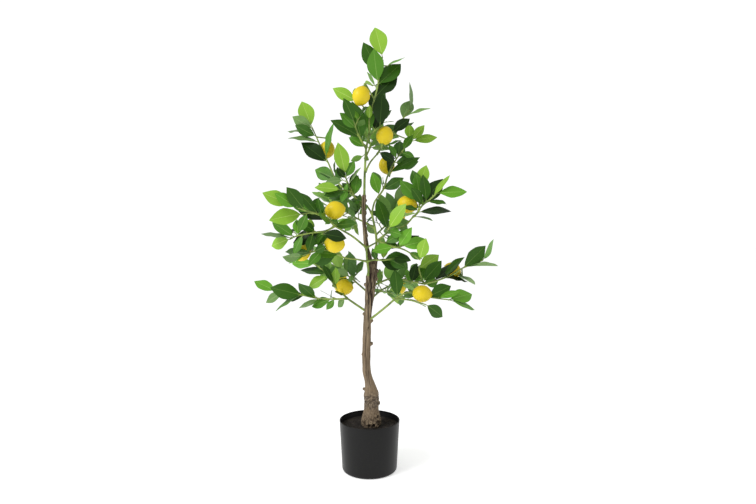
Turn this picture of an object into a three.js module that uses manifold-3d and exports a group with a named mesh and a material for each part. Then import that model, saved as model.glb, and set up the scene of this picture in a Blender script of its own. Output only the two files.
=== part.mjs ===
// Artificial lemon tree, about 1.2 m tall, in a round tapered pot. Millimetres, +Z up.
// The origin is the centre of the pot's flat underside. +X is the right of the front view, +Y its depth.
import * as THREE from "three";
import { mergeVertices } from "three/addons/utils/BufferGeometryUtils.js";
import Module from "manifold-3d";

const wasm = await Module();
wasm.setup();

// Clear gap that neighbouring solids keep.
const GAP = 0.3;
// Facets that bend a surface by less than this are merged.
const SLIVER = 0.05;

// Pot, a thin tapered shell with a lip, and the weighted fill that holds the trunk.
const POT = {
  height: 136,
  baseRadius: 74.8,
  wallRadius: 81.5,
  lipRadius: 81.9,
  lipHeight: 5,
  lipFlare: 0.2,
  lipUnder: 0.8,
  wall: 2,
  floor: 3,
  footFillet: 7,
  rimRound: 1,
  sides: 32,
};
const FILL_TOP = 121;
const FILL_CHAMFER = 2;

// Trunk stations: height above the floor, lean to the right, radius. The flare stands flat on the fill.
const TRUNK_STATIONS = [
  [FILL_TOP + GAP, 4, 27.2],
  [142, 4, 25.6],
  [158, 4.5, 21.5],
  [170, 5, 20.2],
  [189, 5, 20],
  [203, 4.3, 21],
  [214, 4, 18.8],
  [231, 1.6, 14.4],
  [245, -2.4, 12.3],
  [262, -6.4, 11.4],
  [293, -9, 11],
  [354, -7.6, 10.9],
  [408, -6, 10.6],
  [447, -2.4, 10.3],
  [488, 1, 12.4],
  [517, 5, 13],
  [540, 8.5, 11.8],
  [562, 9, 9.5],
];
const TRUNK_LOBES = { count: 3, depth: 0.05, turnsPerMetre: 1.5 };
// Stubs of cut side shoots on the trunk: height, compass angle (0 right, 270 front), reach, radius.
const KNOBS = [
  [181, 0, 4, 7],
  [219, 180, 6, 5],
  [262, 255, 4, 4],
  [315, 180, 3, 4],
  [343, 0, 7.5, 5],
  [372, 100, 6, 4],
  [406, 0, 6, 5],
  [425, 180, 5, 5],
  [468, 80, 5, 5],
  [504, 180, 7, 5.5],
  [520, 0, 6, 5.5],
  [542, 0, 6, 5],
];
// Short side column on the trunk's left front, which carries the front shoot.
const SPUR = { path: [[2, -6, 480], [-3, -9, 506], [-5, -10, 530]], radii: [8, 5.8] };

// Brown limbs of the same wood, above the fork.
const WOOD_LIMBS = {
  leader: {
    path: [[7, 0, 552], [0, 0, 577], [-8, 0, 608], [-13, 0, 656], [-16, 0, 712], [-14, 0, 746]],
    radii: [7, 5.8],
  },
  right_stub: { path: [[13, 0, 552], [17, 0, 580], [17.5, 0, 604]], radii: [6, 5.2] },
};

// Green moulded stems: each one tapering limb, from what carries it to where it enters a mass of leaves.
const GREEN_LIMBS = {
  front_stem: { path: [[-4.5, -10, 528], [-3, -12, 545], [-6, -13, 570], [-8, -14, 606]],
    radii: [3.2, 2.9] },
  leader_stem: { path: [[-14, 0, 743], [-13, -2, 793], [-11, -4, 841], [-9, -5, 873]],
    radii: [3.3, 2.9] },
  top_right_stem: { path: [[-11, -3, 808], [1, 5, 834], [12, 17, 850], [20, 27, 860]],
    radii: [2.5, 2.1] },
  upper_left_stem: { path: [[-16, 2, 712], [-32, 28, 733], [-51, 45, 753], [-78, 60, 774]],
    radii: [2.8, 2.4] },
  right_stem: { path: [[17.5, 0, 601], [19, 0, 623], [15, 0, 656], [6, 4, 698]], radii: [3.3, 2.8] },
  inner_left_stem: { path: [[6, 4, 697], [-5, 16, 716], [-20, 22, 729], [-37, 22, 736]],
    radii: [2.5, 2.2] },
  right_upper_stem: { path: [[6, 4, 697], [13, 20, 728], [23, 35, 744]], radii: [2.5, 2.3] },
  left_stem: { path: [[-8, -14, 605], [-39, -42, 632], [-61, -70, 647], [-86, -100, 662]],
    radii: [2.8, 2.4] },
  left_low_stem: { path: [[-7, -13, 568], [-35, -30, 575], [-62, -50, 579], [-76, -60, 587]],
    radii: [2.4, 2.1] },
  low_left_stem: { path: [[-3, 0, 428], [-37, 12, 449], [-61, 30, 463]], radii: [3.3, 2.8] },
  low_right_stem: { path: [[-5, 0, 405], [26, -13, 431], [50, -22, 452], [68, -28, 469]],
    radii: [3.2, 2.7] },
  right_back_stem: { path: [[6, 2, 500], [62, 35, 519], [113, 55, 509], [154, 70, 500]],
    radii: [2.8, 2.3] },
  right_branch: { path: [[18, 0, 622], [43, -25, 642], [49, -35, 651]], radii: [2.8, 2.6] },
  right_far_stem: { path: [[49, -35, 651], [73, -52, 658], [93, -65, 664], [113, -80, 686]],
    radii: [2.5, 2.2] },
  right_centre_stem: { path: [[-8, -14, 605], [10, -21, 615], [26, -28, 623]], radii: [2.3, 2.1] },
};
const LIMB_SIDES = 6;
const TRUNK_SIDES = 12;
// Straight steps that a limb's and a twig's curve takes between two points of its path.
const LIMB_STEPS = 3;
const TWIG_STEPS = 2;
// A knob: its sides, its rise as it leaves the trunk, where its axis starts, its rings and its taper.
const KNOB = { sides: 5, rise: 0.35, rings: [0.3, 0.8, 1], taper: 0.35 };

// Leaf of pressed fabric. Width, petiole, sag and the places of its shoulders are shares of its length,
// and a shoulder's second number is its share of the full width.
const LEAF = {
  width: 0.5,
  thick: 1.2,
  root: 0.9,
  petiole: 0.1,
  shoulders: [[0.36, 0.92], [0.68, 0.86]],
  sag: 0.09,
};
const TWIG = { root: 3, radius: 2.7, tip: 2.2, sides: 3, rise: 0.12, stray: 0.2 };
// Lemon: its outline goes from the stem end to the blunt nipple, as shares of radius and length.
const LEMON = {
  length: 54,
  radius: 23,
  sides: 8,
  outline: [[0, 0], [0.72, 0.14], [1, 0.45], [0.8, 0.75], [0.24, 0.94], [0, 1]],
  lean: 0.5,
  neck: 6,
  sunk: 3,
};

// Masses of leaves. Each has one stem, and twigs that branch from it at a share of its length. A row of
// leaves gives for each leaf: share along the stem or twig, the clock angle that it points to in the front
// view (0 right, 90 up), its length as a share of the mass's leaf, and its roll about its midrib, 0 with
// its broad side to the front. A number in place of the rows gives that many leaves, set round the stem by
// the ring rule. Lemons: centre, then the clock angle that the fruit's blossom end points to.
const MASSES = {
  crown_top: {
    stem: [[-9, -5, 872], [-1, -12, 911], [0, -15, 945], [7, -10, 978], [20, 0, 1028], [28, 5, 1078],
      [35, 5, 1117]],
    leaf: 86, seed: 3,
    leaves: [[0.18, 95, 0.8, 0], [0.3, 100, 0.45, 20], [0.56, 52, 1.1, 10], [0.7, 45, 1.15, 0],
      [0.68, 262, 0.9, 0], [0.72, 97, 1.05, 0], [0.76, 276, 0.8, 50], [0.8, 128, 0.6, 50],
      [0.82, 111, 1.2, 0], [1, 100, 1.18, 5]],
    twigs: [
      { at: 0.12, tip: [28, -20, 926], leaves: [[0.6, 80, 0.95, 0], [1, 93, 1.05, 0]] },
      { at: 0.36, tip: [-33, -15, 995], leaves: [[0.9, 97, 0.6, 30], [1, 157, 0.85, 45]] },
      { at: 0.9, tip: [47, 5, 1094], leaves: [[1, 35, 0.8, -45]] },
    ],
    lemons: [[-21, -45, 1001, 250]],
  },
  crown_top_left: {
    stem: [[-9, -5, 872], [-19, -25, 885], [-29, -70, 900], [-37, -105, 922]],
    leaf: 90, seed: 5,
    leaves: [[0.03, 145, 0.6, 0], [0.25, 109, 1.2, 0], [0.5, 147, 0.95, 0], [0.8, 138, 0.65, 10],
      [1, 106, 0.7, 0]],
  },
  crown_top_right: {
    stem: [[20, 27, 860], [45, 45, 900], [68, 65, 931], [94, 95, 971], [115, 110, 1000]],
    leaf: 76, seed: 7,
    leaves: [[0.05, 330, 0.7, 10], [0.12, 33, 0.9, 70], [0.45, 46, 0.85, 10], [0.55, 26, 0.85, 60],
      [0.78, 64, 1.1, 20], [0.85, 27, 1.05, 50], [1, 80, 1.1, 75]],
    twigs: [
      { at: 0.45, tip: [124, 115, 912], leaves: [[0.8, 84, 0.75, 0], [0.95, 52, 0.75, 0],
        [1, 14, 0.95, 0]] },
    ],
    lemons: [[41, 0, 907, 75]],
  },
  upper_left: {
    stem: [[-78, 60, 774], [-95, 66, 793], [-104, 70, 811], [-116, 76, 839], [-137, 85, 884],
      [-166, 95, 948]],
    leaf: 84, seed: 11,
    leaves: [[0.05, 145, 0.9, 60], [0.15, 148, 0.95, 10], [0.42, 141, 1.15, 0], [0.5, 83, 1.2, 65],
      [0.76, 164, 1.05, 30], [0.85, 153, 0.8, 20], [0.95, 167, 1.15, 40], [0.97, 152, 0.8, 45],
      [1, 112, 1.1, 15]],
    lemons: [[-125, 110, 885, 255]],
  },
  inner_left: {
    stem: [[-37, 22, 736], [-51, 16, 765], [-61, 4, 786], [-65, -8, 800]],
    leaf: 84, seed: 13,
    leaves: [[0.05, 285, 0.5, 10], [0.12, 250, 0.55, 20], [0.15, 85, 0.7, 10], [0.35, 192, 0.8, 0],
      [0.42, 75, 0.6, 10], [0.6, 50, 0.75, 60], [0.7, 255, 0.5, 30], [0.85, 135, 0.5, 60],
      [0.9, 62, 0.6, 20], [1, 103, 1.05, 0]],
    twigs: [
      { at: 0.3, tip: [-76, -15, 760], leaves: [[0.5, 255, 0.5, 0], [0.8, 195, 0.65, 0],
        [1, 168, 0.85, 0]] },
    ],
  },
  left_outer: {
    stem: [[-86, -100, 662], [-100, -112, 675], [-124, -140, 690], [-157, -165, 700],
      [-181, -180, 711]],
    leaf: 80, seed: 17,
    leaves: [[0.02, 10, 0.82, 0], [0.1, 122, 0.8, 10], [0.2, 162, 1.05, 20], [0.35, 105, 0.6, 30],
      [0.45, 124, 0.9, 20], [0.6, 150, 0.8, 20], [0.75, 125, 0.9, 20], [0.9, 150, 0.8, 0],
      [1, 160, 0.95, 0]],
    twigs: [
      { at: 0.55, tip: [-161, -140, 691], leaves: [[0.6, 250, 0.65, 0], [1, 189, 1.05, 0]] },
    ],
    lemons: [[-85, -100, 702, 12]],
  },
  left_mid: {
    stem: [[-86, -100, 662], [-108, -104, 650], [-143, -104, 645], [-182, -100, 637], [-200, -95, 629]],
    leaf: 80, seed: 19,
    leaves: [[0.2, 214, 0.9, 10], [0.32, 200, 1.05, 10], [0.42, 150, 0.8, 20], [0.48, 250, 0.65, 0],
      [0.62, 84, 0.7, 20], [0.7, 235, 0.7, 0], [0.8, 97, 0.7, 30], [0.9, 137, 0.9, 0],
      [0.95, 166, 1, 60], [1, 201, 0.9, 10]],
    twigs: [
      { at: 0.2, tip: [-113, -150, 642], leaves: [[1, 347, 0.8, 30]] },
    ],
  },
  left_low: {
    stem: [[-76, -60, 587], [-95, -74, 598], [-120, -82, 601], [-145, -88, 596], [-170, -92, 586]],
    leaf: 80, seed: 23,
    leaves: [[0.03, 170, 0.75, 10], [0.08, 189, 1, 40], [0.5, 235, 0.65, 0], [0.6, 70, 0.7, 20],
      [0.7, 15, 0.6, 30], [0.75, 178, 0.95, 50], [0.9, 203, 0.65, 20], [1, 188, 0.8, 65]],
    lemons: [[-86, -100, 617, 355], [-180, -35, 593, 200]],
  },
  low_left: {
    stem: [[-61, 30, 463], [-93, 38, 493], [-123, 45, 533], [-153, 50, 558]],
    leaf: 78, seed: 29,
    leaves: [[0.12, 140, 0.55, 20], [0.35, 98, 0.8, 10], [0.42, 114, 0.8, 45], [0.62, 208, 0.85, 0],
      [0.68, 167, 1.05, 20], [0.75, 122, 0.7, 10], [0.9, 80, 0.5, 40], [1, 171, 0.95, 10]],
    lemons: [[-72, 50, 493, 355]],
  },
  low_left_outer: {
    stem: [[-61, 30, 463], [-106, 45, 460], [-150, 60, 461], [-197, 75, 469], [-238, 85, 476],
      [-271, 90, 478]],
    leaf: 78, seed: 31,
    leaves: [[0.04, 228, 0.5, 10], [0.18, 236, 0.5, 30], [0.22, 195, 0.9, 0], [0.4, 218, 0.8, 65],
      [0.42, 156, 0.8, 30], [0.45, 142, 1, 65], [0.6, 192, 0.9, 10], [0.63, 171, 1.2, 0],
      [0.66, 207, 1.1, 40], [0.9, 212, 0.8, 10], [1, 161, 1, 10]],
  },
  low_right: {
    stem: [[68, -28, 469], [92, -32, 483], [116, -28, 490], [138, -18, 500]],
    leaf: 80, seed: 37,
    leaves: [[0.1, 91, 0.95, 0], [0.75, 50, 0.75, 20]],
    twigs: [
      { at: 0.03, tip: [148, -60, 458], leaves: [[0.35, 352, 0.9, -55], [0.6, 20, 0.6, 40],
        [1, 329, 0.9, 30]] },
      { at: 0.55, tip: [215, -45, 468], leaves: [[0.45, 22, 0.9, 10], [0.7, 28, 0.75, 40],
        [0.96, 12, 1.1, 0], [1, 336, 1.05, 30]] },
    ],
    lemons: [[141, -30, 483, 355]],
  },
  right_mid: {
    stem: [[154, 70, 500], [146, 78, 519], [140, 86, 543]],
    leaf: 80, seed: 41,
    leaves: [[0.1, 2, 0.9, 20], [0.15, 46, 1, 0], [1, 27, 1.15, 0]],
    twigs: [
      { at: 0.2, tip: [115, 95, 498], leaves: [[0.65, 54, 0.9, 0], [0.85, 80, 0.75, 20],
        [1, 98, 0.65, 30]] },
    ],
  },
  right_outer: {
    stem: [[154, 70, 500], [200, 78, 512], [244, 84, 530], [264, 90, 543], [300, 98, 556],
      [326, 100, 566]],
    leaf: 82, seed: 43,
    leaves: [[0.15, 42, 1.2, -25], [0.3, 48, 1.1, 45], [0.34, 350, 1, -45], [0.5, 345, 1.1, 55],
      [0.66, 38, 1.15, 45], [0.8, 68, 0.8, 45], [0.74, 358, 1.2, -70], [1, 49, 1.05, -60]],
    lemons: [[242, 130, 536, 150]],
  },
  right_low: {
    stem: [[-6, -13, 568], [10, -24, 573], [36, -38, 573], [62, -50, 577]],
    leaf: 76, seed: 47,
    leaves: [[0.4, 110, 0.5, 0], [0.5, 345, 0.85, 0], [0.65, 20, 0.8, 10], [0.85, 335, 0.7, 0],
      [1, 8, 0.8, 0]],
  },
  right_upper: {
    stem: [[23, 35, 744], [40, 48, 770], [48, 58, 799], [60, 66, 828], [77, 74, 857], [94, 80, 880]],
    leaf: 78, seed: 53,
    leaves: [[0.04, 103, 0.85, 0], [0.17, 28, 0.85, 0], [0.3, 340, 0.5, 30], [0.5, 28, 1.25, 35],
      [0.46, 71, 1.05, 35], [0.72, 12, 1.2, -30], [0.8, 120, 0.6, 20], [0.86, 84, 0.95, 0],
      [0.95, 340, 0.55, 30], [1, 66, 0.65, 20]],
    lemons: [[48, 105, 840, 105]],
  },
  right_front: {
    stem: [[49, -35, 651], [49, -62, 651], [50, -90, 655]],
    leaf: 84, seed: 59,
    leaves: [[0.1, 107, 1.05, 50], [0.3, 335, 0.55, 20], [0.5, 352, 0.65, 40], [1, 54, 0.95, 0]],
  },
  right_far: {
    stem: [[113, -80, 686], [123, -90, 695], [134, -100, 713], [155, -115, 730], [169, -125, 743]],
    leaf: 80, seed: 61,
    leaves: [[0.03, 348, 0.7, -55], [0.22, 7, 1.05, 42], [0.28, 168, 0.6, 20], [0.46, 124, 0.7, 0],
      [0.44, 61, 1.1, 0], [0.65, 352, 0.65, 20], [0.6, 90, 0.9, 10], [0.85, 62, 0.85, 55],
      [1, 1, 0.95, 0]],
    twigs: [
      { at: 0.3, tip: [128, -80, 757], leaves: [[0.4, 126, 0.95, 10], [0.7, 100, 0.7, 0],
        [0.95, 112, 0.7, 10], [1, 76, 0.9, 0]] },
    ],
    lemons: [[99, -62, 719, 165]],
  },
  right_centre: {
    stem: [[26, -28, 623], [49, -55, 613], [69, -75, 607], [84, -90, 611]],
    leaf: 80, seed: 67,
    leaves: [[0.15, 345, 0.6, 0], [0.25, 35, 0.85, 10], [0.65, 195, 0.7, 0], [0.7, 25, 0.9, 10],
      [0.85, 60, 0.8, 0], [1, 6, 0.85, -40]],
    twigs: [
      { at: 0.5, tip: [130, -85, 576], leaves: [[0.6, 330, 0.5, 20], [1, 85, 0.8, 0]] },
    ],
  },
  back_left: {
    stem: [[15, 1, 656], [-7, 16, 671], [-33, 45, 684], [-72, 100, 708], [-120, 160, 735]],
    leaf: 82, seed: 71, bare: 0.4, leaves: 11,
  },
  back_top: {
    stem: [[-12, -2, 845], [-2, 50, 876], [11, 110, 914], [23, 165, 959]],
    leaf: 80, seed: 73, bare: 0.4, leaves: 11,
  },
  back_right: {
    stem: [[18, 0, 640], [34, 50, 656], [61, 110, 683], [83, 170, 720]],
    leaf: 82, seed: 79, bare: 0.4, leaves: 12,
    lemons: [[82, 175, 690, 270]],
  },
  back_low_right: {
    stem: [[0, 0, 462], [35, 60, 485], [80, 130, 500], [115, 190, 510]],
    leaf: 82, seed: 83, bare: 0.45, leaves: 12,
    lemons: [[88, 200, 481, 270]],
  },
  back_low_left: {
    stem: [[1, 0, 478], [-33, 60, 501], [-80, 130, 530], [-130, 190, 557]],
    leaf: 82, seed: 89, bare: 0.35, leaves: 12,
    lemons: [[-95, 185, 505, 270]],
  },
};

// How the dice turn a leaf that its row places. Angles are in degrees, and facing is the way that its
// upper side looks.
const ROW_RULE = { clock: 6, depth: 24, lean: 12, roll: 14, facing: [0.25, -1, 0.5] };
// How they turn one that the ring rule places round the stem, and the shares of the mass's leaf that its
// length may have.
const RING_RULE = {
  step: 137.5,
  start: 51,
  swing: 25,
  spread: 52,
  spreadSwing: 14,
  tipSpread: 12,
  lift: 0.35,
  roll: 40,
  facing: [0.25, 0.6, 0.5],
  shortest: 0.85,
  range: 0.25,
};
// Tries that a leaf gets before it is left out, and how far its turns widen with each.
const TRIES = { count: 40, widening: 0.06 };
// Balls that stand for leaves and limbs when clearances are tested.
const BALL = { leaf: 5, rows: 9, inner: 3, spread: 0.62, end: 0.94, near: 2, slack: 4.5, onLimb: 24 };

// Seeded dice, the same numbers on every run.
function dice(seed) {
  let state = seed >>> 0;
  return () => {
    state = (state + 0x6d2b79f5) >>> 0;
    let mix = Math.imul(state ^ (state >>> 15), state | 1);
    mix ^= mix + Math.imul(mix ^ (mix >>> 7), mix | 61);
    return ((mix ^ (mix >>> 14)) >>> 0) / 4294967296;
  };
}

const vector = (p) => new THREE.Vector3(...p);
const radians = THREE.MathUtils.degToRad;

// Smooth curve through the points of a path, as a fine polyline.
function curve(path, steps) {
  const points = path.map(vector);
  const line = [];
  for (let i = 0; i < points.length - 1; i++) {
    const before = points[Math.max(i - 1, 0)];
    const after = points[Math.min(i + 2, points.length - 1)];
    for (let k = 0; k < steps; k++) {
      const t = k / steps;
      const blend = (a, b, c, d) => 0.5 * (2 * b + (c - a) * t
        + (2 * a - 5 * b + 4 * c - d) * t * t + (3 * b - a - 3 * c + d) * t * t * t);
      line.push(vector(["x", "y", "z"].map((axis) => blend(
        before[axis], points[i][axis], points[i + 1][axis], after[axis]))));
    }
  }
  line.push(points.at(-1));
  return line;
}

// Point and direction at a share of a polyline's length.
function walk(line, share) {
  const lengths = line.slice(1).map((p, i) => p.distanceTo(line[i]));
  let left = share * lengths.reduce((sum, length) => sum + length, 0);
  let i = 0;
  while (i < lengths.length - 1 && left > lengths[i]) {
    left -= lengths[i];
    i++;
  }
  const along = line[i + 1].clone().sub(line[i]).normalize();
  return { point: line[i].clone().addScaledVector(along, left), along };
}

// Closed body through rings of equal count, with flat ends, or with a point beyond the last ring.
function loft(rings, point) {
  const sides = rings[0].length;
  const positions = [...rings.flat(), ...(point ? [point] : [])].flatMap((p) => [p.x, p.y, p.z]);
  const faces = [];
  for (let r = 0; r < rings.length - 1; r++) {
    for (let s = 0; s < sides; s++) {
      const [a, b] = [r * sides + s, r * sides + (s + 1) % sides];
      faces.push(a, b, b + sides, a, b + sides, a + sides);
    }
  }
  const last = (rings.length - 1) * sides;
  for (let s = 1; s < sides - 1; s++) {
    faces.push(0, s + 1, s);
    if (!point) faces.push(last, last + s, last + s + 1);
  }
  for (let s = 0; point && s < sides; s++) {
    faces.push(last + s, last + (s + 1) % sides, last + sides);
  }
  return solid(positions, faces);
}

function solid(positions, faces) {
  return new wasm.Manifold(new wasm.Mesh({
    numProp: 3,
    vertProperties: new Float32Array(positions),
    triVerts: new Uint32Array(faces),
  }));
}

// Round limb along a line. radiusAt takes the share of the length and the angle round it.
function tube(line, radiusAt, sides) {
  let side = new THREE.Vector3(0, 1, 0);
  const first = line[1].clone().sub(line[0]).normalize();
  if (Math.abs(first.y) > 0.9) side = new THREE.Vector3(1, 0, 0);
  const rings = line.map((point, i) => {
    const ahead = line[Math.min(i + 1, line.length - 1)];
    const behind = line[Math.max(i - 1, 0)];
    const along = ahead.clone().sub(behind).normalize();
    side = side.clone().addScaledVector(along, -side.dot(along)).normalize();
    const across = along.clone().cross(side);
    return Array.from({ length: sides }, (_, s) => {
      const angle = (2 * Math.PI * s) / sides;
      const radius = radiusAt(i / (line.length - 1), angle);
      return point.clone().addScaledVector(side, Math.cos(angle) * radius)
        .addScaledVector(across, Math.sin(angle) * radius);
    });
  });
  return loft(rings);
}

// A limb grown by the gap all round, its ends too, which its neighbours are cut with.
function grown(line, radiusAt, sides) {
  const ends = [line[0].clone(), line.at(-1).clone()];
  ends[0].addScaledVector(line[1].clone().sub(line[0]).normalize(), -GAP);
  ends[1].addScaledVector(line.at(-1).clone().sub(line.at(-2)).normalize(), GAP);
  const longer = [ends[0], ...line.slice(1, -1), ends[1]];
  const flatSideLoss = 1 / Math.cos(Math.PI / sides);
  return tube(longer, (share, angle) => radiusAt(share, angle) + GAP * flatSideLoss, sides);
}

const taper = ([root, tip]) => (share) => root + (tip - root) * share;

// Height, lean and radius of the trunk at a height, from its stations.
function stationAt(height) {
  const index = TRUNK_STATIONS.findIndex((row) => row[0] >= height);
  if (index <= 0) return TRUNK_STATIONS[0];
  const [low, high] = [TRUNK_STATIONS[index - 1], TRUNK_STATIONS[index]];
  const share = (height - low[0]) / (high[0] - low[0]);
  return low.map((value, i) => value + (high[i] - value) * share);
}

// Trunk as level rings, so that its foot is a flat cut, with lobes that turn slowly round it.
function trunkColumn(extra) {
  const sides = TRUNK_SIDES;
  const rings = TRUNK_STATIONS.map(([height, lean, radius], index) => {
    const ends = { 0: -extra, [TRUNK_STATIONS.length - 1]: extra };
    return Array.from({ length: sides }, (_, s) => {
      const angle = (2 * Math.PI * s) / sides;
      const turn = 2 * Math.PI * TRUNK_LOBES.turnsPerMetre * height / 1000;
      const lobed = radius * (1 + TRUNK_LOBES.depth * Math.sin(TRUNK_LOBES.count * angle + turn)) + extra;
      return vector([lean + Math.cos(angle) * lobed, Math.sin(angle) * lobed, height + (ends[index] ?? 0)]);
    });
  });
  return loft(rings);
}

function trunkBody(extra = 0) {
  const knobs = KNOBS.map(([height, compass, reach, radius]) => {
    const [, lean, trunkRadius] = stationAt(height);
    const out = vector([Math.cos(radians(compass)), Math.sin(radians(compass)), KNOB.rise]).normalize();
    const centre = vector([lean, 0, height - KNOB.rise * trunkRadius]);
    const line = KNOB.rings.map((share) => centre.clone()
      .addScaledVector(out, share * (trunkRadius + reach) + (share === 1 ? extra : 0)));
    return tube(line, (share) => radius * (1 - KNOB.taper * share * share) + extra, KNOB.sides);
  });
  const spur = tube(curve(SPUR.path, LIMB_STEPS), (share) => taper(SPUR.radii)(share) + extra, LIMB_SIDES);
  return wasm.Manifold.union([trunkColumn(extra), spur, ...knobs]);
}

// Leaf frame: its base point, the way it points, its upper side and its length.
function leafBody({ base, along, up, length }) {
  const across = up.clone().cross(along);
  const half = (length * LEAF.width) / 2;
  const spine = (share) => base.clone().addScaledVector(along, share * length)
    .addScaledVector(up, -LEAF.sag * length * share * share);
  const ring = (share, halfWidth, depth) => [
    spine(share).addScaledVector(across, halfWidth),
    spine(share).addScaledVector(across, -halfWidth),
    spine(share).addScaledVector(up, -depth),
  ];
  const rings = [ring(0, LEAF.root, LEAF.thick), ring(LEAF.petiole, LEAF.root, LEAF.thick)];
  LEAF.shoulders.forEach(([share, width]) => rings.push(ring(share, half * width, LEAF.thick)));
  return loft(rings, spine(1));
}

// Balls that stand for a leaf when it is tested against its neighbours.
function leafBalls({ base, along, up, length }) {
  const across = up.clone().cross(along);
  const half = (length * LEAF.width) / 2;
  const balls = [];
  for (let row = 2; row <= BALL.rows; row++) {
    const share = row / BALL.rows;
    const wide = half * Math.sin(Math.PI * share * BALL.end) * BALL.spread;
    for (const side of [-1, 0, 1]) {
      balls.push({ radius: BALL.leaf, point: base.clone().addScaledVector(along, share * length)
        .addScaledVector(up, -LEAF.sag * length * share * share).addScaledVector(across, side * wide) });
    }
  }
  return balls;
}

// Lemon as a turned body, its stem end at the given point.
function lemonBody(stemEnd, along) {
  const outline = LEMON.outline.map(([radius, share]) => (
    new THREE.Vector2(radius * LEMON.radius, share * LEMON.length)));
  const fruit = new THREE.LatheGeometry(outline, LEMON.sides);
  fruit.applyQuaternion(new THREE.Quaternion().setFromUnitVectors(new THREE.Vector3(0, 1, 0), along));
  fruit.translate(stemEnd.x, stemEnd.y, stemEnd.z);
  return fromGeometry(fruit);
}

function fromGeometry(geometry) {
  geometry.deleteAttribute("normal");
  geometry.deleteAttribute("uv");
  const merged = mergeVertices(geometry, 1e-4);
  const index = merged.getIndex().array;
  const faces = [];
  for (let i = 0; i < index.length; i += 3) {
    const [a, b, c] = index.slice(i, i + 3);
    if (a !== b && b !== c && c !== a) faces.push(a, b, c);
  }
  return solid(merged.getAttribute("position").array, faces);
}

// Rows of leaves of a stem. A plain count is spread evenly from the stem's bare share to its tip.
function leafRows({ leaves, bare }) {
  if (Array.isArray(leaves)) return leaves;
  return Array.from({ length: leaves }, (_, index) => [bare + ((1 - bare) * index) / (leaves - 1)]);
}

// Every stem and twig of the masses, with the leaves that each will carry.
function shoots(mass) {
  const dieRoll = dice(mass.seed);
  const stem = { line: curve(mass.stem, TWIG_STEPS), radii: [TWIG.root, TWIG.tip], leaves: leafRows(mass) };
  const twigs = (mass.twigs ?? []).map((row) => {
    const root = walk(stem.line, row.at).point;
    const tip = vector(row.tip);
    const reach = root.distanceTo(tip);
    const middle = root.clone().lerp(tip, 0.5);
    middle.z += reach * TWIG.rise * (dieRoll() - 0.3);
    middle.y += reach * TWIG.stray * (dieRoll() - 0.5);
    const path = [root, middle, tip].map((p) => p.toArray());
    return { line: curve(path, TWIG_STEPS), radii: [TWIG.radius, TWIG.tip], leaves: row.leaves };
  });
  const fruit = (mass.lemons ?? []).map(([x, y, z, clock]) => {
    const lean = LEMON.lean * (dieRoll() - 0.5);
    const along = vector([Math.cos(radians(clock)), lean, Math.sin(radians(clock))]).normalize();
    const stemEnd = vector([x, y, z]).addScaledVector(along, -LEMON.length / 2);
    const nearest = stem.line.reduce((best, p) => (
      p.distanceTo(stemEnd) < best.distanceTo(stemEnd) ? p : best));
    const inside = stemEnd.clone().addScaledVector(along, LEMON.sunk);
    const neck = stemEnd.clone().addScaledVector(along, -LEMON.neck);
    const path = [nearest, neck, inside].map((p) => p.toArray());
    return { centre: vector([x, y, z]), stemEnd, along, stalk: curve(path, TWIG_STEPS) };
  });
  return { dieRoll, stems: [stem, ...twigs], fruit };
}

// Way that a leaf points when its row gives the clock angle.
function byRow(clockAngle, front, swing) {
  const clock = radians(clockAngle + ROW_RULE.clock * swing());
  const depth = radians(ROW_RULE.depth * swing() + ROW_RULE.lean * front);
  return vector([Math.cos(clock) * Math.cos(depth), Math.sin(depth), Math.sin(clock) * Math.cos(depth)]);
}

// Way that a leaf points when the ring rule sets it round its stem.
function byRing({ index, share, along, seed }, swing, dieRoll) {
  const ring = radians(RING_RULE.step * index + RING_RULE.start * seed + RING_RULE.swing * swing());
  const besideStem = RING_RULE.spread + RING_RULE.spreadSwing * swing();
  const spread = radians(share === 1 ? RING_RULE.tipSpread : besideStem);
  const side = new THREE.Vector3(0, 0, 1).addScaledVector(along, -along.z).normalize();
  const other = along.clone().cross(side);
  const direction = along.clone().multiplyScalar(Math.cos(spread))
    .addScaledVector(side, Math.sin(spread) * Math.cos(ring))
    .addScaledVector(other, Math.sin(spread) * Math.sin(ring));
  direction.z += RING_RULE.lift * dieRoll();
  return direction;
}

// One turn of the dice for a leaf.
function turned(mass, shoot, index, dieRoll, widening) {
  const [share, clockAngle, size, rollAngle] = shoot.leaves[index];
  const { point, along } = walk(shoot.line, share);
  const swing = () => widening * (2 * dieRoll() - 1);
  const front = mass.stem.at(-1)[1] < mass.stem[0][1] ? -1 : 1;
  const placed = clockAngle !== undefined;
  const direction = placed ? byRow(clockAngle, front, swing)
    : byRing({ index, share, along, seed: mass.seed }, swing, dieRoll);
  direction.normalize();
  const [sideways, outward, upward] = placed ? ROW_RULE.facing : RING_RULE.facing;
  const face = vector([sideways * swing(), placed ? outward : outward * front, upward]);
  const flat = face.addScaledVector(direction, -face.dot(direction)).normalize();
  const hand = (index + mass.seed) % 2 ? 1 : -1;
  const roll = placed ? hand * rollAngle + ROW_RULE.roll * swing() : RING_RULE.roll * swing();
  const up = flat.applyAxisAngle(direction, radians(roll));
  const sizeShare = placed ? size : RING_RULE.shortest + RING_RULE.range * dieRoll();
  return { base: point, along: direction, up, length: mass.leaf * sizeShare };
}

// Balls along a line, each as wide as the limb is there.
function tubeBalls(line, radiusAt) {
  const last = BALL.onLimb - 1;
  return Array.from({ length: BALL.onLimb }, (_, i) => (
    { point: walk(line, i / last).point, radius: radiusAt(i / last) }));
}

const clearOf = (balls, others, slack = 0) => balls.every((ball) => others.every((other) => (
  ball.point.distanceTo(other.point) > ball.radius + other.radius - slack)));

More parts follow.
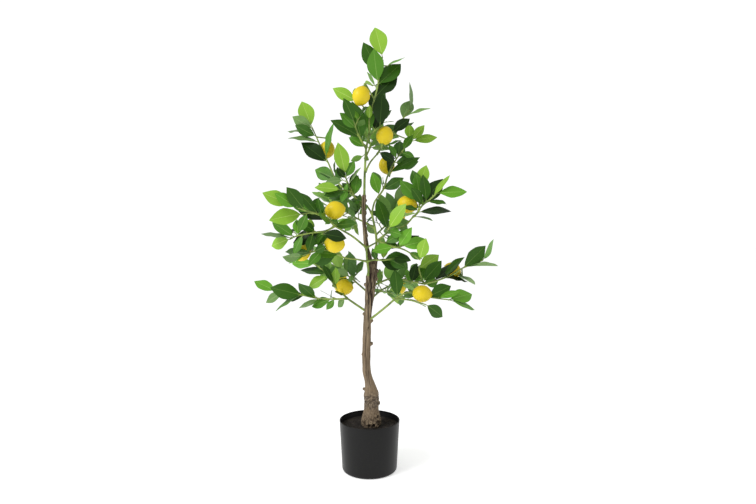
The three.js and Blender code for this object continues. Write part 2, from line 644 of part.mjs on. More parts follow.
// Limbs with their lines, radii and the balls that leaves keep clear of.
const limbs = Object.entries({ ...WOOD_LIMBS, ...GREEN_LIMBS }).map(([name, { path, radii }]) => {
  const line = curve(path, LIMB_STEPS);
  const radiusAt = taper(radii);
  return { name, line, radiusAt, balls: tubeBalls(line, (share) => radiusAt(share) + BALL.near) };
});
const trunkBalls = TRUNK_STATIONS.map(([height, lean, radius]) => (
  { point: vector([lean, 0, height]), radius: radius + BALL.near }));

// Leaves of every mass, each kept clear of the limbs and of the other masses, or else left out.
const grownMasses = Object.entries(MASSES).map(([name, mass]) => {
  const grownShoots = shoots(mass);
  const woodBalls = grownShoots.stems.flatMap(({ line }) => tubeBalls(line, () => BALL.near));
  const fruitBalls = grownShoots.fruit.map(({ centre }) => ({ point: centre, radius: LEMON.radius }));
  return { name, mass, ...grownShoots, woodBalls, fruitBalls, leaves: [], leafBalls: [] };
});
const limbBalls = [...trunkBalls, ...limbs.flatMap(({ balls }) => balls)];
for (const own of grownMasses) {
  const others = grownMasses.filter((other) => other !== own);
  const blocked = [...limbBalls, ...others.flatMap((other) => (
    [...other.woodBalls, ...other.fruitBalls, ...other.leafBalls]))];
  for (const shoot of own.stems) {
    for (let index = 0; index < shoot.leaves.length; index++) {
      for (let attempt = 0; attempt < TRIES.count; attempt++) {
        const leaf = turned(own.mass, shoot, index, own.dieRoll, 1 + attempt * TRIES.widening);
        const balls = leafBalls(leaf);
        const outer = balls.slice(BALL.inner);
        if (!clearOf(balls, blocked) || !clearOf(outer, own.fruitBalls)) continue;
        if (!clearOf(outer, [...own.leafBalls, ...own.woodBalls], BALL.slack)) continue;
        own.leaves.push(leaf);
        own.leafBalls.push(...balls);
        break;
      }
    }
  }
}

// Body turned round the vertical axis, from a profile of radius and height.
function turnedBody(profile, sides) {
  const shell = new THREE.LatheGeometry(profile.map(([radius, z]) => new THREE.Vector2(radius, z)), sides);
  shell.rotateX(Math.PI / 2);
  return fromGeometry(shell);
}

// Pot: one shell, closed below, open above.
function potBody() {
  const underLip = POT.height - POT.lipHeight;
  const footRadius = POT.baseRadius - POT.footFillet;
  const profile = [[0, 0], [footRadius, 0]];
  for (const turn of [30, 60, 90]) {
    profile.push([
      footRadius + POT.footFillet * Math.sin(radians(turn)),
      POT.footFillet * (1 - Math.cos(radians(turn))),
    ]);
  }
  profile.push([POT.wallRadius, underLip - POT.lipUnder]);
  profile.push([POT.lipRadius - POT.lipFlare, underLip]);
  profile.push([POT.lipRadius, POT.height - POT.rimRound]);
  profile.push([POT.lipRadius - POT.rimRound, POT.height]);
  profile.push([POT.lipRadius - POT.wall, POT.height - POT.rimRound]);
  profile.push([POT.wallRadius - POT.wall, underLip]);
  profile.push([POT.baseRadius - POT.wall, POT.footFillet]);
  profile.push([footRadius, POT.floor], [0, POT.floor]);
  return turnedBody(profile, POT.sides);
}

// Fill: it stands on the pot's floor, clear of the wall by twice the gap, because the sides are faceted.
function fillBody() {
  const underLip = POT.height - POT.lipHeight;
  const wallAt = (z) => {
    const share = (z - POT.footFillet) / (underLip - POT.footFillet);
    return POT.baseRadius + (POT.wallRadius - POT.baseRadius) * share - POT.wall - 2 * GAP;
  };
  const profile = [[0, POT.floor + GAP], [POT.baseRadius - POT.footFillet - 2 * GAP, POT.floor + GAP]];
  profile.push([wallAt(POT.footFillet), POT.footFillet + FILL_CHAMFER]);
  profile.push([wallAt(FILL_TOP), FILL_TOP], [0, FILL_TOP]);
  return turnedBody(profile, POT.sides);
}

const finishes = {
  pot: { color: 0x232427, roughness: 0.38 },
  fill: { color: 0x17130f, roughness: 0.95 },
  bark: { color: 0x5a483b, roughness: 0.85 },
  stem: { color: 0x8a9a45, roughness: 0.5 },
  leaves: { color: 0x3f7a2a, roughness: 0.5 },
};

const tree = new THREE.Group();

function addNode(name, body, finish) {
  const { vertProperties, triVerts } = body.getMesh();
  const geometry = new THREE.BufferGeometry();
  geometry.setAttribute("position", new THREE.BufferAttribute(new Float32Array(vertProperties), 3));
  geometry.setIndex(new THREE.BufferAttribute(new Uint32Array(triVerts), 1));
  geometry.computeVertexNormals();
  const material = new THREE.MeshStandardMaterial({ ...finishes[finish], metalness: 0 });
  const mesh = new THREE.Mesh(geometry, material);
  mesh.name = name;
  tree.add(mesh);
}

addNode("pot", potBody(), "pot");
addNode("fill", fillBody(), "fill");
addNode("trunk", trunkBody(), "bark");

// A body cut clear of all the cutters, without the loose scraps that a cut leaves.
function cutClear(body, cutters) {
  const pieces = cutters.reduce((rest, cutter) => rest.subtract(cutter), body).simplify(SLIVER).decompose();
  return pieces.reduce((best, piece) => (piece.volume() > best.volume() ? piece : best));
}

// Each limb is cut clear of the trunk and of the limbs before it.
const cutters = [trunkBody(GAP)];
for (const limb of limbs) {
  const body = cutClear(tube(limb.line, limb.radiusAt, LIMB_SIDES), cutters);
  addNode(limb.name, body, limb.name in WOOD_LIMBS ? "bark" : "stem");
  cutters.push(grown(limb.line, limb.radiusAt, LIMB_SIDES));
}

// Each mass: stem, twigs, leaves and fruit fused, then cut clear of the limbs and of the stems before it.
for (const own of grownMasses) {
  const wood = own.stems.map(({ line, radii }) => tube(line, taper(radii), TWIG.sides));
  const leaves = own.leaves.map(leafBody);
  const fruit = own.fruit.flatMap(({ stemEnd, along, stalk }) => [
    lemonBody(stemEnd, along), tube(stalk, () => TWIG.radius, TWIG.sides)]);
  const fused = wasm.Manifold.union([...wood, ...leaves, ...fruit]);
  addNode(own.name, cutClear(fused, cutters), "leaves");
  const stem = own.stems[0];
  cutters.push(grown(stem.line, taper(stem.radii), TWIG.sides));
}

export default tree;
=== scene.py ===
"""Looks of an artificial lemon tree in its pot: bark, moulded stems, pressed leaves and lemons."""

import math
from types import SimpleNamespace as Sizes

import bpy
import numpy as np
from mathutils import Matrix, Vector, noise


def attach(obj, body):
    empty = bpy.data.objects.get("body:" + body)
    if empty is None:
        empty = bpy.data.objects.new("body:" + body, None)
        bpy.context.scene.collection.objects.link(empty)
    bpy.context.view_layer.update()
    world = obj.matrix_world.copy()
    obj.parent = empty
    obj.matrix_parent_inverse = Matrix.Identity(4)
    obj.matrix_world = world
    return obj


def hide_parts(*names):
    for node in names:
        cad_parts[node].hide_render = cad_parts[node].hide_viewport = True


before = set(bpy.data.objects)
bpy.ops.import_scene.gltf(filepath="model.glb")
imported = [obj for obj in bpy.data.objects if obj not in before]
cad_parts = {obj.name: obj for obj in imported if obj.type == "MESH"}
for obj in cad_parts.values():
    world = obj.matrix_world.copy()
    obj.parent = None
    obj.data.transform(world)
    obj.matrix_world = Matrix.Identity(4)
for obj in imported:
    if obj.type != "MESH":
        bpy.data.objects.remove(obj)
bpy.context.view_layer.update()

# Lengths in the tables are millimetres, and meshes are made in metres.
MM = 0.001
UP = np.array([0.0, 0.0, 1.0])

# Camera of the reference view: its place in metres, how far down it looks in degrees, its lens and sensor
CAMERA_PLACE = (0.023, -1.5, 0.641)
CAMERA_DIP = 1.82
LENS = 26.38
SENSOR = 36.0
# Studio: place, aim and size of each lamp in metres, and its power. The light from all round is brighter
# where the camera sees it.
LAMPS = {
    "front_left_lamp": ((-1.9, -1.4, 2.1), (0, 0, 0.6), 1.4, 50),
    "right_lamp": ((2, -0.6, 1.2), (0, 0, 0.5), 1, 2.5),
}
SURROUND = Sizes(light=0.62, more_where_seen=0.45)
FLOOR = Sizes(reach=30000, glow=0.45)

# Pot, with the ledge inside under its rim, and the hollow under its floor with the shares of its slope
POT = Sizes(
    height=136, base_radius=74.8, wall_radius=81.5, lip_radius=81.9, lip_height=5,
    wall=2, floor=3, foot_fillet=7, ledge=(0.6, 1.5), hollow=0.8, hollow_edge=(0.55, 0.6),
    fillet_steps=8, sides=144,
)
FILL_TOP = 121
GAP = 0.3
# Fill, with the pitch and depth of the lumps and the grit on its top
FILL = Sizes(sides=128, rings=44, lumps=(9, 0.9), grit=(3, 0.7), sunk=0.9)
CRUMBS = Sizes(
    sides=64, from_wall=3, under_trunk=2, sunk=0.8, radius=1.1, per_square_metre=110000.0,
    seed=4, size_seed=7, smallest=(0.35, 0.35, 0.3), largest=(1.2, 1.2, 0.8), most_turn=6.28,
)

# Trunk stations: height above the floor, lean to the right, radius
TRUNK_STATIONS = [
    [FILL_TOP + GAP, 4, 27.2], [142, 4, 25.6], [158, 4.5, 21.5], [170, 5, 20.2], [189, 5, 20],
    [203, 4.3, 21], [214, 4, 18.8], [231, 1.6, 14.4], [245, -2.4, 12.3], [262, -6.4, 11.4],
    [293, -9, 11], [354, -7.6, 10.9], [408, -6, 10.6], [447, -2.4, 10.3], [488, 1, 12.4],
    [517, 5, 13], [540, 8.5, 11.8], [562, 9, 9.5],
]
# Stubs of cut shoots: height, compass angle (0 right, 270 front), reach, radius
TRUNK_KNOBS = [
    [181, 0, 4, 7], [219, 180, 6, 5], [262, 255, 4, 4], [315, 180, 3, 4], [343, 0, 7.5, 5],
    [372, 100, 6, 4], [406, 0, 6, 5], [425, 180, 5, 5], [468, 80, 5, 5], [504, 180, 7, 5.5],
    [520, 0, 6, 5.5], [542, 0, 6, 5],
]
# Rounded lumps of the foot, the bulge and the fork, in the same way
TRUNK_LUMPS = [
    [126, 245, 4, 12], [132, 300, 5, 9], [150, 330, 3, 8], [196, 250, 2.5, 10], [205, 300, 2, 8],
    [128, 20, 3, 12], [130, 140, 4, 11], [497, 300, 3, 6], [455, 330, 2.5, 6], [530, 20, 3, 7],
    [139, 325, 5, 7], [124, 300, 6, 7], [123, 240, 6, 8], [150, 305, 3, 5], [545, 300, 3, 7],
    [542, 352, 6, 6], [519, 348, 5, 5], [503, 190, 5, 5], [131, 270, 5, 7],
]
LEADER_STATIONS = [
    [552, 7, 7], [577, 0, 6.8], [608, -8, 6.5], [656, -13, 6.3], [712, -16, 6], [748, -14, 5.8],
]
LEADER_KNOBS = [
    [700, 20, 2.5, 5], [716, 180, 2.5, 4], [733, 350, 3, 4], [742, 160, 2.5, 4], [640, 0, 1.5, 6],
]
STUB_STATIONS = [[550, 13, 6.4], [580, 17, 5.8], [606, 17.5, 5.4]]
STUB_KNOBS = [[597, 0, 2.5, 4], [590, 200, 2.5, 4], [575, 340, 2, 5]]
# Form of each stub of a shoot: its rise, and its radii at shares of its reach
KNOB = Sizes(
    rise=0.35, shares=(0.2, 0.6, 0.85, 0.97, 1.02), radii=(1.5, 1.25, 0.85, 0.8, 0.45), sides=14,
)
LUMP = Sizes(sides=16, rings=9)

# Strands that run up the trunk and fuse with it: points and radius at each
STRANDS = [
    [[-9, 1, 372, 6.5], [-8, -3, 420, 6.6], [-4, -6, 462, 6.6], [-4, -8.5, 492, 6.4], [-5, -10, 530, 5.8]],
    [
        [-5, 0, 380, 6.5], [0, -3, 430, 6.6], [7, -4, 478, 7], [11, -4, 512, 7.2], [12, -2, 545, 6.6],
        [13, 0, 560, 6],
    ],
    [[-8, 4, 360, 6], [-2, 6, 430, 6.8], [4, 5, 490, 8], [8, 3, 540, 7.5], [7, 0, 560, 6.8]],
    [[-12, -3, 262, 6], [-13, -3, 300, 6.2], [-12, -2, 360, 6.2], [-10, 0, 400, 6]],
    [[-4, -5, 240, 7], [-7, -4, 290, 6.6], [-6, -4, 350, 6.6], [-4, -3, 400, 6.2], [-2, 0, 430, 6]],
]
# Where strands cover the trunk, its core has this share of the stations' radii
CORE = Sizes(share=1.06, start=235, over=30)
# Hollows at the foot: height, compass angle, depth, width
HOLLOWS = [
    [125, 262, 6, 6], [127, 285, 5, 4], [134, 309, 6, 5], [148, 318, 4, 4], [128, 232, 4, 5],
    [128, 60, 4, 6], [127, 150, 4, 5], [124, 322, 5, 4],
]
# Deep grooves up the front of the wood: points as lean and height, depth, half width
FRONT_GROOVES = [
    ([[8.5, 432], [7, 460], [5, 490], [3, 515], [1, 540]], 4, 2.2),
    ([[-2, 400], [-3.5, 455], [-4, 500], [-5, 528]], 1.6, 1.6),
    ([[-3, 235], [-8, 262], [-10, 330], [-11, 372]], 1.2, 1.6),
    ([[3, 222], [-3, 258], [-4, 300], [-3, 340]], 0.9, 1.4),
    ([[1, 580], [-5, 615], [-9, 655], [-6, 690]], 1.6, 1.5),
    ([[-12, 640], [-14, 700], [-15, 735]], 1.2, 1.3),
]
# Relief of the bark: its mesh, the pitch and depth of its patterns, and the heights that change them
BARK = Sizes(
    sides=28, steps=5, voxel=1.0, smoothing=4, fork=555, fork_overlap=18,
    furrows_from=230, furrows_over=60, lump_pitch=11, lump_depth=0.9,
    crust_pitch=3.4, crust_depth=1.6, knot_pitch=9, knot_depth=3,
    lump_squash=0.6, crust_squash=1.4, ridge_slope=2.2, least_furrow=0.25,
    bulge=193, bulge_half=22, foot_over=34, groove_end=12, groove_stray=1.5,
)
# Lengthwise patterns of the bark. Where it is crusty, they lose a share of their depth.
FURROW = Sizes(pitch=6, length=75, start=(3, 5), depth=1.5, power=5, loss=0.7)
GRAIN = Sizes(pitch=2.6, length=42, start=(9, 1), depth=0.5, power=2, loss=0.6)
# How dark each sunken part of the relief is painted: painted shade in furrows, grain lines, hollows and
# crust troughs
DARKNESS = Sizes(furrow=0.8, grain=0.3, sunk=0.9, crust=1.6, knots=0.5)
# Heights in metres between which the bark's paint changes. Below the ground heights the foot gets painted
# shade where it meets the fill.
PAINT = {
    "ground": (0.122, 0.136), "foot": (0.13, 0.175), "bulge": (0.186, 0.204), "above_bulge": (0.224, 0.24),
    "upper": (0.37, 0.5), "fork": (0.49, 0.53), "above_fork": (0.565, 0.6), "leader": (0.64, 0.74),
}

# Green moulded stems, each one tapering limb
GREEN_LIMBS = {
    "front_stem": ([[-4.5, -10, 528], [-3, -12, 545], [-6, -13, 570], [-8, -14, 606]], [3.2, 2.9]),
    "leader_stem": ([[-14, 0, 743], [-13, -2, 793], [-11, -4, 841], [-9, -5, 873]], [3.3, 2.9]),
    "top_right_stem": ([[-11, -3, 808], [1, 5, 834], [12, 17, 850], [20, 27, 860]], [2.5, 2.1]),
    "upper_left_stem": ([[-16, 2, 712], [-32, 28, 733], [-51, 45, 753], [-78, 60, 774]], [2.8, 2.4]),
    "right_stem": ([[17.5, 0, 601], [19, 0, 623], [15, 0, 656], [6, 4, 698]], [3.3, 2.8]),
    "inner_left_stem": ([[6, 4, 697], [-5, 16, 716], [-20, 22, 729], [-37, 22, 736]], [2.5, 2.2]),
    "right_upper_stem": ([[6, 4, 697], [13, 20, 728], [23, 35, 744]], [2.5, 2.3]),
    "left_stem": ([[-8, -14, 605], [-39, -42, 632], [-61, -70, 647], [-86, -100, 662]], [2.8, 2.4]),
    "left_low_stem": ([[-7, -13, 568], [-35, -30, 575], [-62, -50, 579], [-76, -60, 587]], [2.4, 2.1]),
    "low_left_stem": ([[-3, 0, 428], [-37, 12, 449], [-61, 30, 463]], [3.3, 2.8]),
    "low_right_stem": ([[-5, 0, 405], [26, -13, 431], [50, -22, 452], [68, -28, 469]], [3.2, 2.7]),
    "right_back_stem": ([[6, 2, 500], [62, 35, 519], [113, 55, 509], [154, 70, 500]], [2.8, 2.3]),
    "right_branch": ([[18, 0, 622], [43, -25, 642], [49, -35, 651]], [2.8, 2.6]),
    "right_far_stem": ([[49, -35, 651], [73, -52, 658], [93, -65, 664], [113, -80, 686]], [2.5, 2.2]),
    "right_centre_stem": ([[-8, -14, 605], [10, -21, 615], [26, -28, 623]], [2.3, 2.1]),
}
# Straight steps of the seeded rule's curves, and of the finer ones that the meshes take
RULE_STEPS = Sizes(limb=3, twig=2)
FINE_STEPS = 8
SHOOT_STEPS = 4

# Tones of the pressed leaves. Light and bright are partly lime young leaves, partly painted backlight; dark
# and deep partly painted shade.
LIGHT, BRIGHT, MID, DARK, DEEP, GREY = range(6)

# Shares that shape a leaf and a twig, and the form of a lemon
LEAF = Sizes(width=0.5, petiole=0.1, sag=0.09)
TWIG = Sizes(rise=0.12, fall=0.3, stray=0.2)
LEMON = Sizes(length=54, radius=23, lean=0.5, neck=6, sunk=3)

# Masses of leaves. Each has one stem, and twigs from it as share along it, tip and leaves. A leaf's row is
# its share along the stem or twig, clock angle in the front view (0 right, 90 up), size, roll and tone.
# A number in place of the rows gives that many leaves round the stem by the ring rule. A lemon's row is
# its centre and clock angle.
MASSES = {
    "crown_top": {
        "stem": [
            [-9, -5, 872], [-1, -12, 911], [0, -15, 945], [7, -10, 978], [20, 0, 1028], [28, 5, 1078],
            [35, 5, 1117],
        ],
        "leaf": 86, "seed": 3,
        "leaves": [
            [0.18, 95, 0.8, 0, MID], [0.3, 100, 0.45, 20, LIGHT], [0.56, 52, 1.1, 10, DEEP],
            [0.7, 45, 1.15, 0, DARK], [0.68, 262, 0.9, 0, DEEP], [0.72, 97, 1.05, 0, MID],
            [0.76, 276, 0.8, 50, MID], [0.8, 128, 0.6, 50, GREY], [0.82, 111, 1.2, 0, DARK],
            [1, 100, 1.18, 5, LIGHT],
        ],
        "twigs": [
            (0.12, [28, -20, 926], [[0.6, 80, 0.95, 0, DEEP], [1, 93, 1.05, 0, DEEP]]),
            (0.36, [-33, -15, 995], [[0.9, 97, 0.6, 30, LIGHT], [1, 157, 0.85, 45, LIGHT]]),
            (0.9, [47, 5, 1094], [[1, 35, 0.8, -45, BRIGHT]]),
        ],
        "lemons": [[-21, -45, 1001, 250]],
    },
    "crown_top_left": {
        "stem": [[-9, -5, 872], [-19, -25, 885], [-29, -70, 900], [-37, -105, 922]],
        "leaf": 90, "seed": 5,
        "leaves": [
            [0.03, 145, 0.6, 0, MID], [0.25, 109, 1.2, 0, DARK], [0.5, 147, 0.95, 0, DARK],
            [0.8, 138, 0.65, 10, MID], [1, 106, 0.7, 0, DARK],
        ],
    },
    "crown_top_right": {
        "stem": [[20, 27, 860], [45, 45, 900], [68, 65, 931], [94, 95, 971], [115, 110, 1000]],
        "leaf": 76, "seed": 7,
        "leaves": [
            [0.05, 330, 0.7, 10, DEEP], [0.12, 33, 0.9, 70, DARK], [0.45, 46, 0.85, 10, DEEP],
            [0.55, 26, 0.85, 60, DARK], [0.78, 64, 1.1, 20, GREY], [0.85, 27, 1.05, 50, BRIGHT],
            [1, 80, 1.1, 75, GREY],
        ],
        "twigs": [
            (0.45, [124, 115, 912],
             [[0.8, 84, 0.75, 0, LIGHT], [0.95, 52, 0.75, 0, LIGHT], [1, 14, 0.95, 0, LIGHT]]),
        ],
        "lemons": [[41, 0, 907, 75]],
    },
    "upper_left": {
        "stem": [
            [-78, 60, 774], [-95, 66, 793], [-104, 70, 811], [-116, 76, 839], [-137, 85, 884],
            [-166, 95, 948],
        ],
        "leaf": 84, "seed": 11,
        "leaves": [
            [0.05, 145, 0.9, 60, DEEP], [0.15, 148, 0.95, 10, MID], [0.42, 141, 1.15, 0, DEEP],
            [0.5, 83, 1.2, 65, MID], [0.76, 164, 1.05, 30, GREY], [0.85, 153, 0.8, 20, DARK],
            [0.95, 167, 1.15, 40, GREY], [0.97, 152, 0.8, 45, GREY], [1, 112, 1.1, 15, LIGHT],
        ],
        "lemons": [[-125, 110, 885, 255]],
    },
    "inner_left": {
        "stem": [[-37, 22, 736], [-51, 16, 765], [-61, 4, 786], [-65, -8, 800]],
        "leaf": 84, "seed": 13,
        "leaves": [
            [0.05, 285, 0.5, 10, DARK], [0.12, 250, 0.55, 20, DARK], [0.15, 85, 0.7, 10, MID],
            [0.35, 192, 0.8, 0, DARK], [0.42, 75, 0.6, 10, DEEP], [0.6, 50, 0.75, 60, GREY],
            [0.7, 255, 0.5, 30, MID], [0.85, 135, 0.5, 60, DEEP], [0.9, 62, 0.6, 20, MID],
            [1, 103, 1.05, 0, LIGHT],
        ],
        "twigs": [
            (0.3, [-76, -15, 760],
             [[0.5, 255, 0.5, 0, MID], [0.8, 195, 0.65, 0, DARK], [1, 168, 0.85, 0, LIGHT]]),
        ],
    },
    "left_outer": {
        "stem": [
            [-86, -100, 662], [-100, -112, 675], [-124, -140, 690], [-157, -165, 700],
            [-181, -180, 711],
        ],
        "leaf": 80, "seed": 17,
        "leaves": [
            [0.02, 10, 0.82, 0, DARK], [0.1, 122, 0.8, 10, MID], [0.2, 162, 1.05, 20, DEEP],
            [0.35, 105, 0.6, 30, DARK], [0.45, 124, 0.9, 20, DARK], [0.6, 150, 0.8, 20, MID],
            [0.75, 125, 0.9, 20, DARK], [0.9, 150, 0.8, 0, BRIGHT], [1, 160, 0.95, 0, LIGHT],
        ],
        "twigs": [(0.55, [-161, -140, 691], [[0.6, 250, 0.65, 0, MID], [1, 189, 1.05, 0, LIGHT]])],
        "lemons": [[-85, -100, 702, 12]],
    },
    "left_mid": {
        "stem": [
            [-86, -100, 662], [-108, -104, 650], [-143, -104, 645], [-182, -100, 637],
            [-200, -95, 629],
        ],
        "leaf": 80, "seed": 19,
        "leaves": [
            [0.2, 214, 0.9, 10, MID], [0.32, 200, 1.05, 10, DEEP], [0.42, 150, 0.8, 20, DARK],
            [0.48, 250, 0.65, 0, DARK], [0.62, 84, 0.7, 20, LIGHT], [0.7, 235, 0.7, 0, MID],
            [0.8, 97, 0.7, 30, BRIGHT], [0.9, 137, 0.9, 0, MID], [0.95, 166, 1, 60, GREY],
            [1, 201, 0.9, 10, LIGHT],
        ],
        "twigs": [(0.2, [-113, -150, 642], [[1, 347, 0.8, 30, DEEP]])],
    },
    "left_low": {
        "stem": [[-76, -60, 587], [-95, -74, 598], [-120, -82, 601], [-145, -88, 596], [-170, -92, 586]],
        "leaf": 80, "seed": 23,
        "leaves": [
            [0.03, 170, 0.75, 10, MID], [0.08, 189, 1, 40, DARK], [0.5, 235, 0.65, 0, MID],
            [0.6, 70, 0.7, 20, MID], [0.7, 15, 0.6, 30, DARK], [0.75, 178, 0.95, 50, DARK],
            [0.9, 203, 0.65, 20, BRIGHT], [1, 188, 0.8, 65, GREY],
        ],
        "lemons": [[-86, -100, 617, 355], [-180, -35, 593, 200]],
    },
    "low_left": {
        "stem": [[-61, 30, 463], [-93, 38, 493], [-123, 45, 533], [-153, 50, 558]],
        "leaf": 78, "seed": 29,
        "leaves": [
            [0.12, 140, 0.55, 20, DARK], [0.35, 98, 0.8, 10, LIGHT], [0.42, 114, 0.8, 45, DARK],
            [0.62, 208, 0.85, 0, LIGHT], [0.68, 167, 1.05, 20, DARK], [0.75, 122, 0.7, 10, DARK],
            [0.9, 80, 0.5, 40, MID], [1, 171, 0.95, 10, BRIGHT],
        ],
        "lemons": [[-72, 50, 493, 355]],
    },
    "low_left_outer": {
        "stem": [
            [-61, 30, 463], [-106, 45, 460], [-150, 60, 461], [-197, 75, 469], [-238, 85, 476],
            [-271, 90, 478],
        ],
        "leaf": 78, "seed": 31,
        "leaves": [
            [0.04, 228, 0.5, 10, GREY], [0.18, 236, 0.5, 30, MID], [0.22, 195, 0.9, 0, MID],
            [0.4, 218, 0.8, 65, GREY], [0.42, 156, 0.8, 30, LIGHT], [0.45, 142, 1, 65, DARK],
            [0.6, 192, 0.9, 10, DARK], [0.63, 171, 1.2, 0, DARK], [0.66, 207, 1.1, 40, MID],
            [0.9, 212, 0.8, 10, GREY], [1, 161, 1, 10, BRIGHT],
        ],
    },
    "low_right": {
        "stem": [[68, -28, 469], [92, -32, 483], [116, -28, 490], [138, -18, 500]],
        "leaf": 80, "seed": 37,
        "leaves": [[0.1, 91, 0.95, 0, DARK], [0.75, 50, 0.75, 20, MID]],
        "twigs": [
            (0.03, [148, -60, 458],
             [[0.35, 352, 0.9, -55, GREY], [0.6, 20, 0.6, 40, MID], [1, 329, 0.9, 30, DARK]]),
            (0.55, [215, -45, 468],
             [[0.45, 22, 0.9, 10, DARK], [0.7, 28, 0.75, 40, BRIGHT], [0.96, 12, 1.1, 0, BRIGHT],
              [1, 336, 1.05, 30, BRIGHT]]),
        ],
        "lemons": [[141, -30, 483, 355]],
    },
    "right_mid": {
        "stem": [[154, 70, 500], [146, 78, 519], [140, 86, 543]],
        "leaf": 80, "seed": 41,
        "leaves": [[0.1, 2, 0.9, 20, MID], [0.15, 46, 1, 0, DARK], [1, 27, 1.15, 0, LIGHT]],
        "twigs": [
            (0.2, [115, 95, 498],
             [[0.65, 54, 0.9, 0, MID], [0.85, 80, 0.75, 20, DEEP], [1, 98, 0.65, 30, BRIGHT]]),
        ],
    },
    "right_outer": {
        "stem": [
            [154, 70, 500], [200, 78, 512], [244, 84, 530], [264, 90, 543], [300, 98, 556],
            [326, 100, 566],
        ],
        "leaf": 82, "seed": 43,
        "leaves": [
            [0.15, 42, 1.2, -25, DEEP], [0.3, 48, 1.1, 45, DARK], [0.34, 350, 1, -45, DEEP],
            [0.5, 345, 1.1, 55, GREY], [0.66, 38, 1.15, 45, DARK], [0.8, 68, 0.8, 45, GREY],
            [0.74, 358, 1.2, -70, GREY], [1, 49, 1.05, -60, BRIGHT],
        ],
        "lemons": [[242, 130, 536, 150]],
    },
    "right_low": {
        "stem": [[-6, -13, 568], [10, -24, 573], [36, -38, 573], [62, -50, 577]],
        "leaf": 76, "seed": 47,
        "leaves": [
            [0.4, 110, 0.5, 0, DARK], [0.5, 345, 0.85, 0, DEEP], [0.65, 20, 0.8, 10, DARK],
            [0.85, 335, 0.7, 0, DARK], [1, 8, 0.8, 0, DEEP],
        ],
    },
    "right_upper": {
        "stem": [[23, 35, 744], [40, 48, 770], [48, 58, 799], [60, 66, 828], [77, 74, 857], [94, 80, 880]],
        "leaf": 78, "seed": 53,
        "leaves": [
            [0.04, 103, 0.85, 0, BRIGHT], [0.17, 28, 0.85, 0, DARK], [0.3, 340, 0.5, 30, MID],
            [0.5, 28, 1.25, 35, DARK], [0.46, 71, 1.05, 35, DEEP], [0.72, 12, 1.2, -30, DARK],
            [0.8, 120, 0.6, 20, MID], [0.86, 84, 0.95, 0, DARK], [0.95, 340, 0.55, 30, MID],
            [1, 66, 0.65, 20, MID],
        ],
        "lemons": [[48, 105, 840, 105]],
    },
    "right_front": {
        "stem": [[49, -35, 651], [49, -62, 651], [50, -90, 655]],
        "leaf": 84, "seed": 59,
        "leaves": [
            [0.1, 107, 1.05, 50, DARK], [0.3, 335, 0.55, 20, DARK], [0.5, 352, 0.65, 40, MID],
            [1, 54, 0.95, 0, LIGHT],
        ],
    },
    "right_far": {
        "stem": [[113, -80, 686], [123, -90, 695], [134, -100, 713], [155, -115, 730], [169, -125, 743]],
        "leaf": 80, "seed": 61,
        "leaves": [
            [0.03, 348, 0.7, -55, GREY], [0.22, 7, 1.05, 42, DEEP], [0.28, 168, 0.6, 20, DARK],
            [0.46, 124, 0.7, 0, DARK], [0.44, 61, 1.1, 0, DEEP], [0.65, 352, 0.65, 20, DARK],
            [0.6, 90, 0.9, 10, DARK], [0.85, 62, 0.85, 55, LIGHT], [1, 1, 0.95, 0, BRIGHT],
        ],
        "twigs": [
            (0.3, [128, -80, 757],
             [[0.4, 126, 0.95, 10, MID], [0.7, 100, 0.7, 0, MID], [0.95, 112, 0.7, 10, DARK],
              [1, 76, 0.9, 0, LIGHT]]),
        ],
        "lemons": [[99, -62, 719, 165]],
    },
    "right_centre": {
        "stem": [[26, -28, 623], [49, -55, 613], [69, -75, 607], [84, -90, 611]],
        "leaf": 80, "seed": 67,
        "leaves": [
            [0.15, 345, 0.6, 0, DARK], [0.25, 35, 0.85, 10, MID], [0.65, 195, 0.7, 0, BRIGHT],
            [0.7, 25, 0.9, 10, DEEP], [0.85, 60, 0.8, 0, BRIGHT], [1, 6, 0.85, -40, BRIGHT],
        ],
        "twigs": [(0.5, [130, -85, 576], [[0.6, 330, 0.5, 20, MID], [1, 85, 0.8, 0, LIGHT]])],
    },
    "back_left": {
        "stem": [[15, 1, 656], [-7, 16, 671], [-33, 45, 684], [-72, 100, 708], [-120, 160, 735]],
        "leaf": 82, "seed": 71, "bare": 0.4, "leaves": 11,
    },
    "back_top": {
        "stem": [[-12, -2, 845], [-2, 50, 876], [11, 110, 914], [23, 165, 959]],
        "leaf": 80, "seed": 73, "bare": 0.4, "leaves": 11,
    },
    "back_right": {
        "stem": [[18, 0, 640], [34, 50, 656], [61, 110, 683], [83, 170, 720]],
        "leaf": 82, "seed": 79, "bare": 0.4, "leaves": 12,
        "lemons": [[82, 175, 690, 270]],
    },
    "back_low_right": {
        "stem": [[0, 0, 462], [35, 60, 485], [80, 130, 500], [115, 190, 510]],
        "leaf": 82, "seed": 83, "bare": 0.45, "leaves": 12,
        "lemons": [[88, 200, 481, 270]],
    },
    "back_low_left": {
        "stem": [[1, 0, 478], [-33, 60, 501], [-80, 130, 530], [-130, 190, 557]],
        "leaf": 82, "seed": 89, "bare": 0.35, "leaves": 12,
        "lemons": [[-95, 185, 505, 270]],
    },
}
# Leaves are joined by region of the crown, so that each piece stays light.
REGIONS = {
    "leaves_top": [
        "crown_top", "crown_top_left", "crown_top_right", "upper_left", "inner_left", "right_upper",
    ],
    "leaves_left": ["left_outer", "left_mid", "left_low", "low_left", "low_left_outer"],
    "leaves_right": [
        "low_right", "right_mid", "right_outer", "right_low", "right_front", "right_far", "right_centre",
    ],
    "leaves_back": ["back_left", "back_top", "back_right", "back_low_right", "back_low_left"],
}

# The seeded rule, with the numbers that the solids were grown by
ROW_RULE = Sizes(clock=6, depth=24, lean=12, roll=14, facing=[0.25, -1, 0.5])
RING_RULE = Sizes(
    step=137.5, start=51, swing=25, spread=52, spread_swing=14, tip_spread=12,
    lift=0.35, roll=40, facing=[0.25, 0.6, 0.5], shortest=0.85, range=0.25,
)
TRIES = Sizes(count=40, widening=0.06)
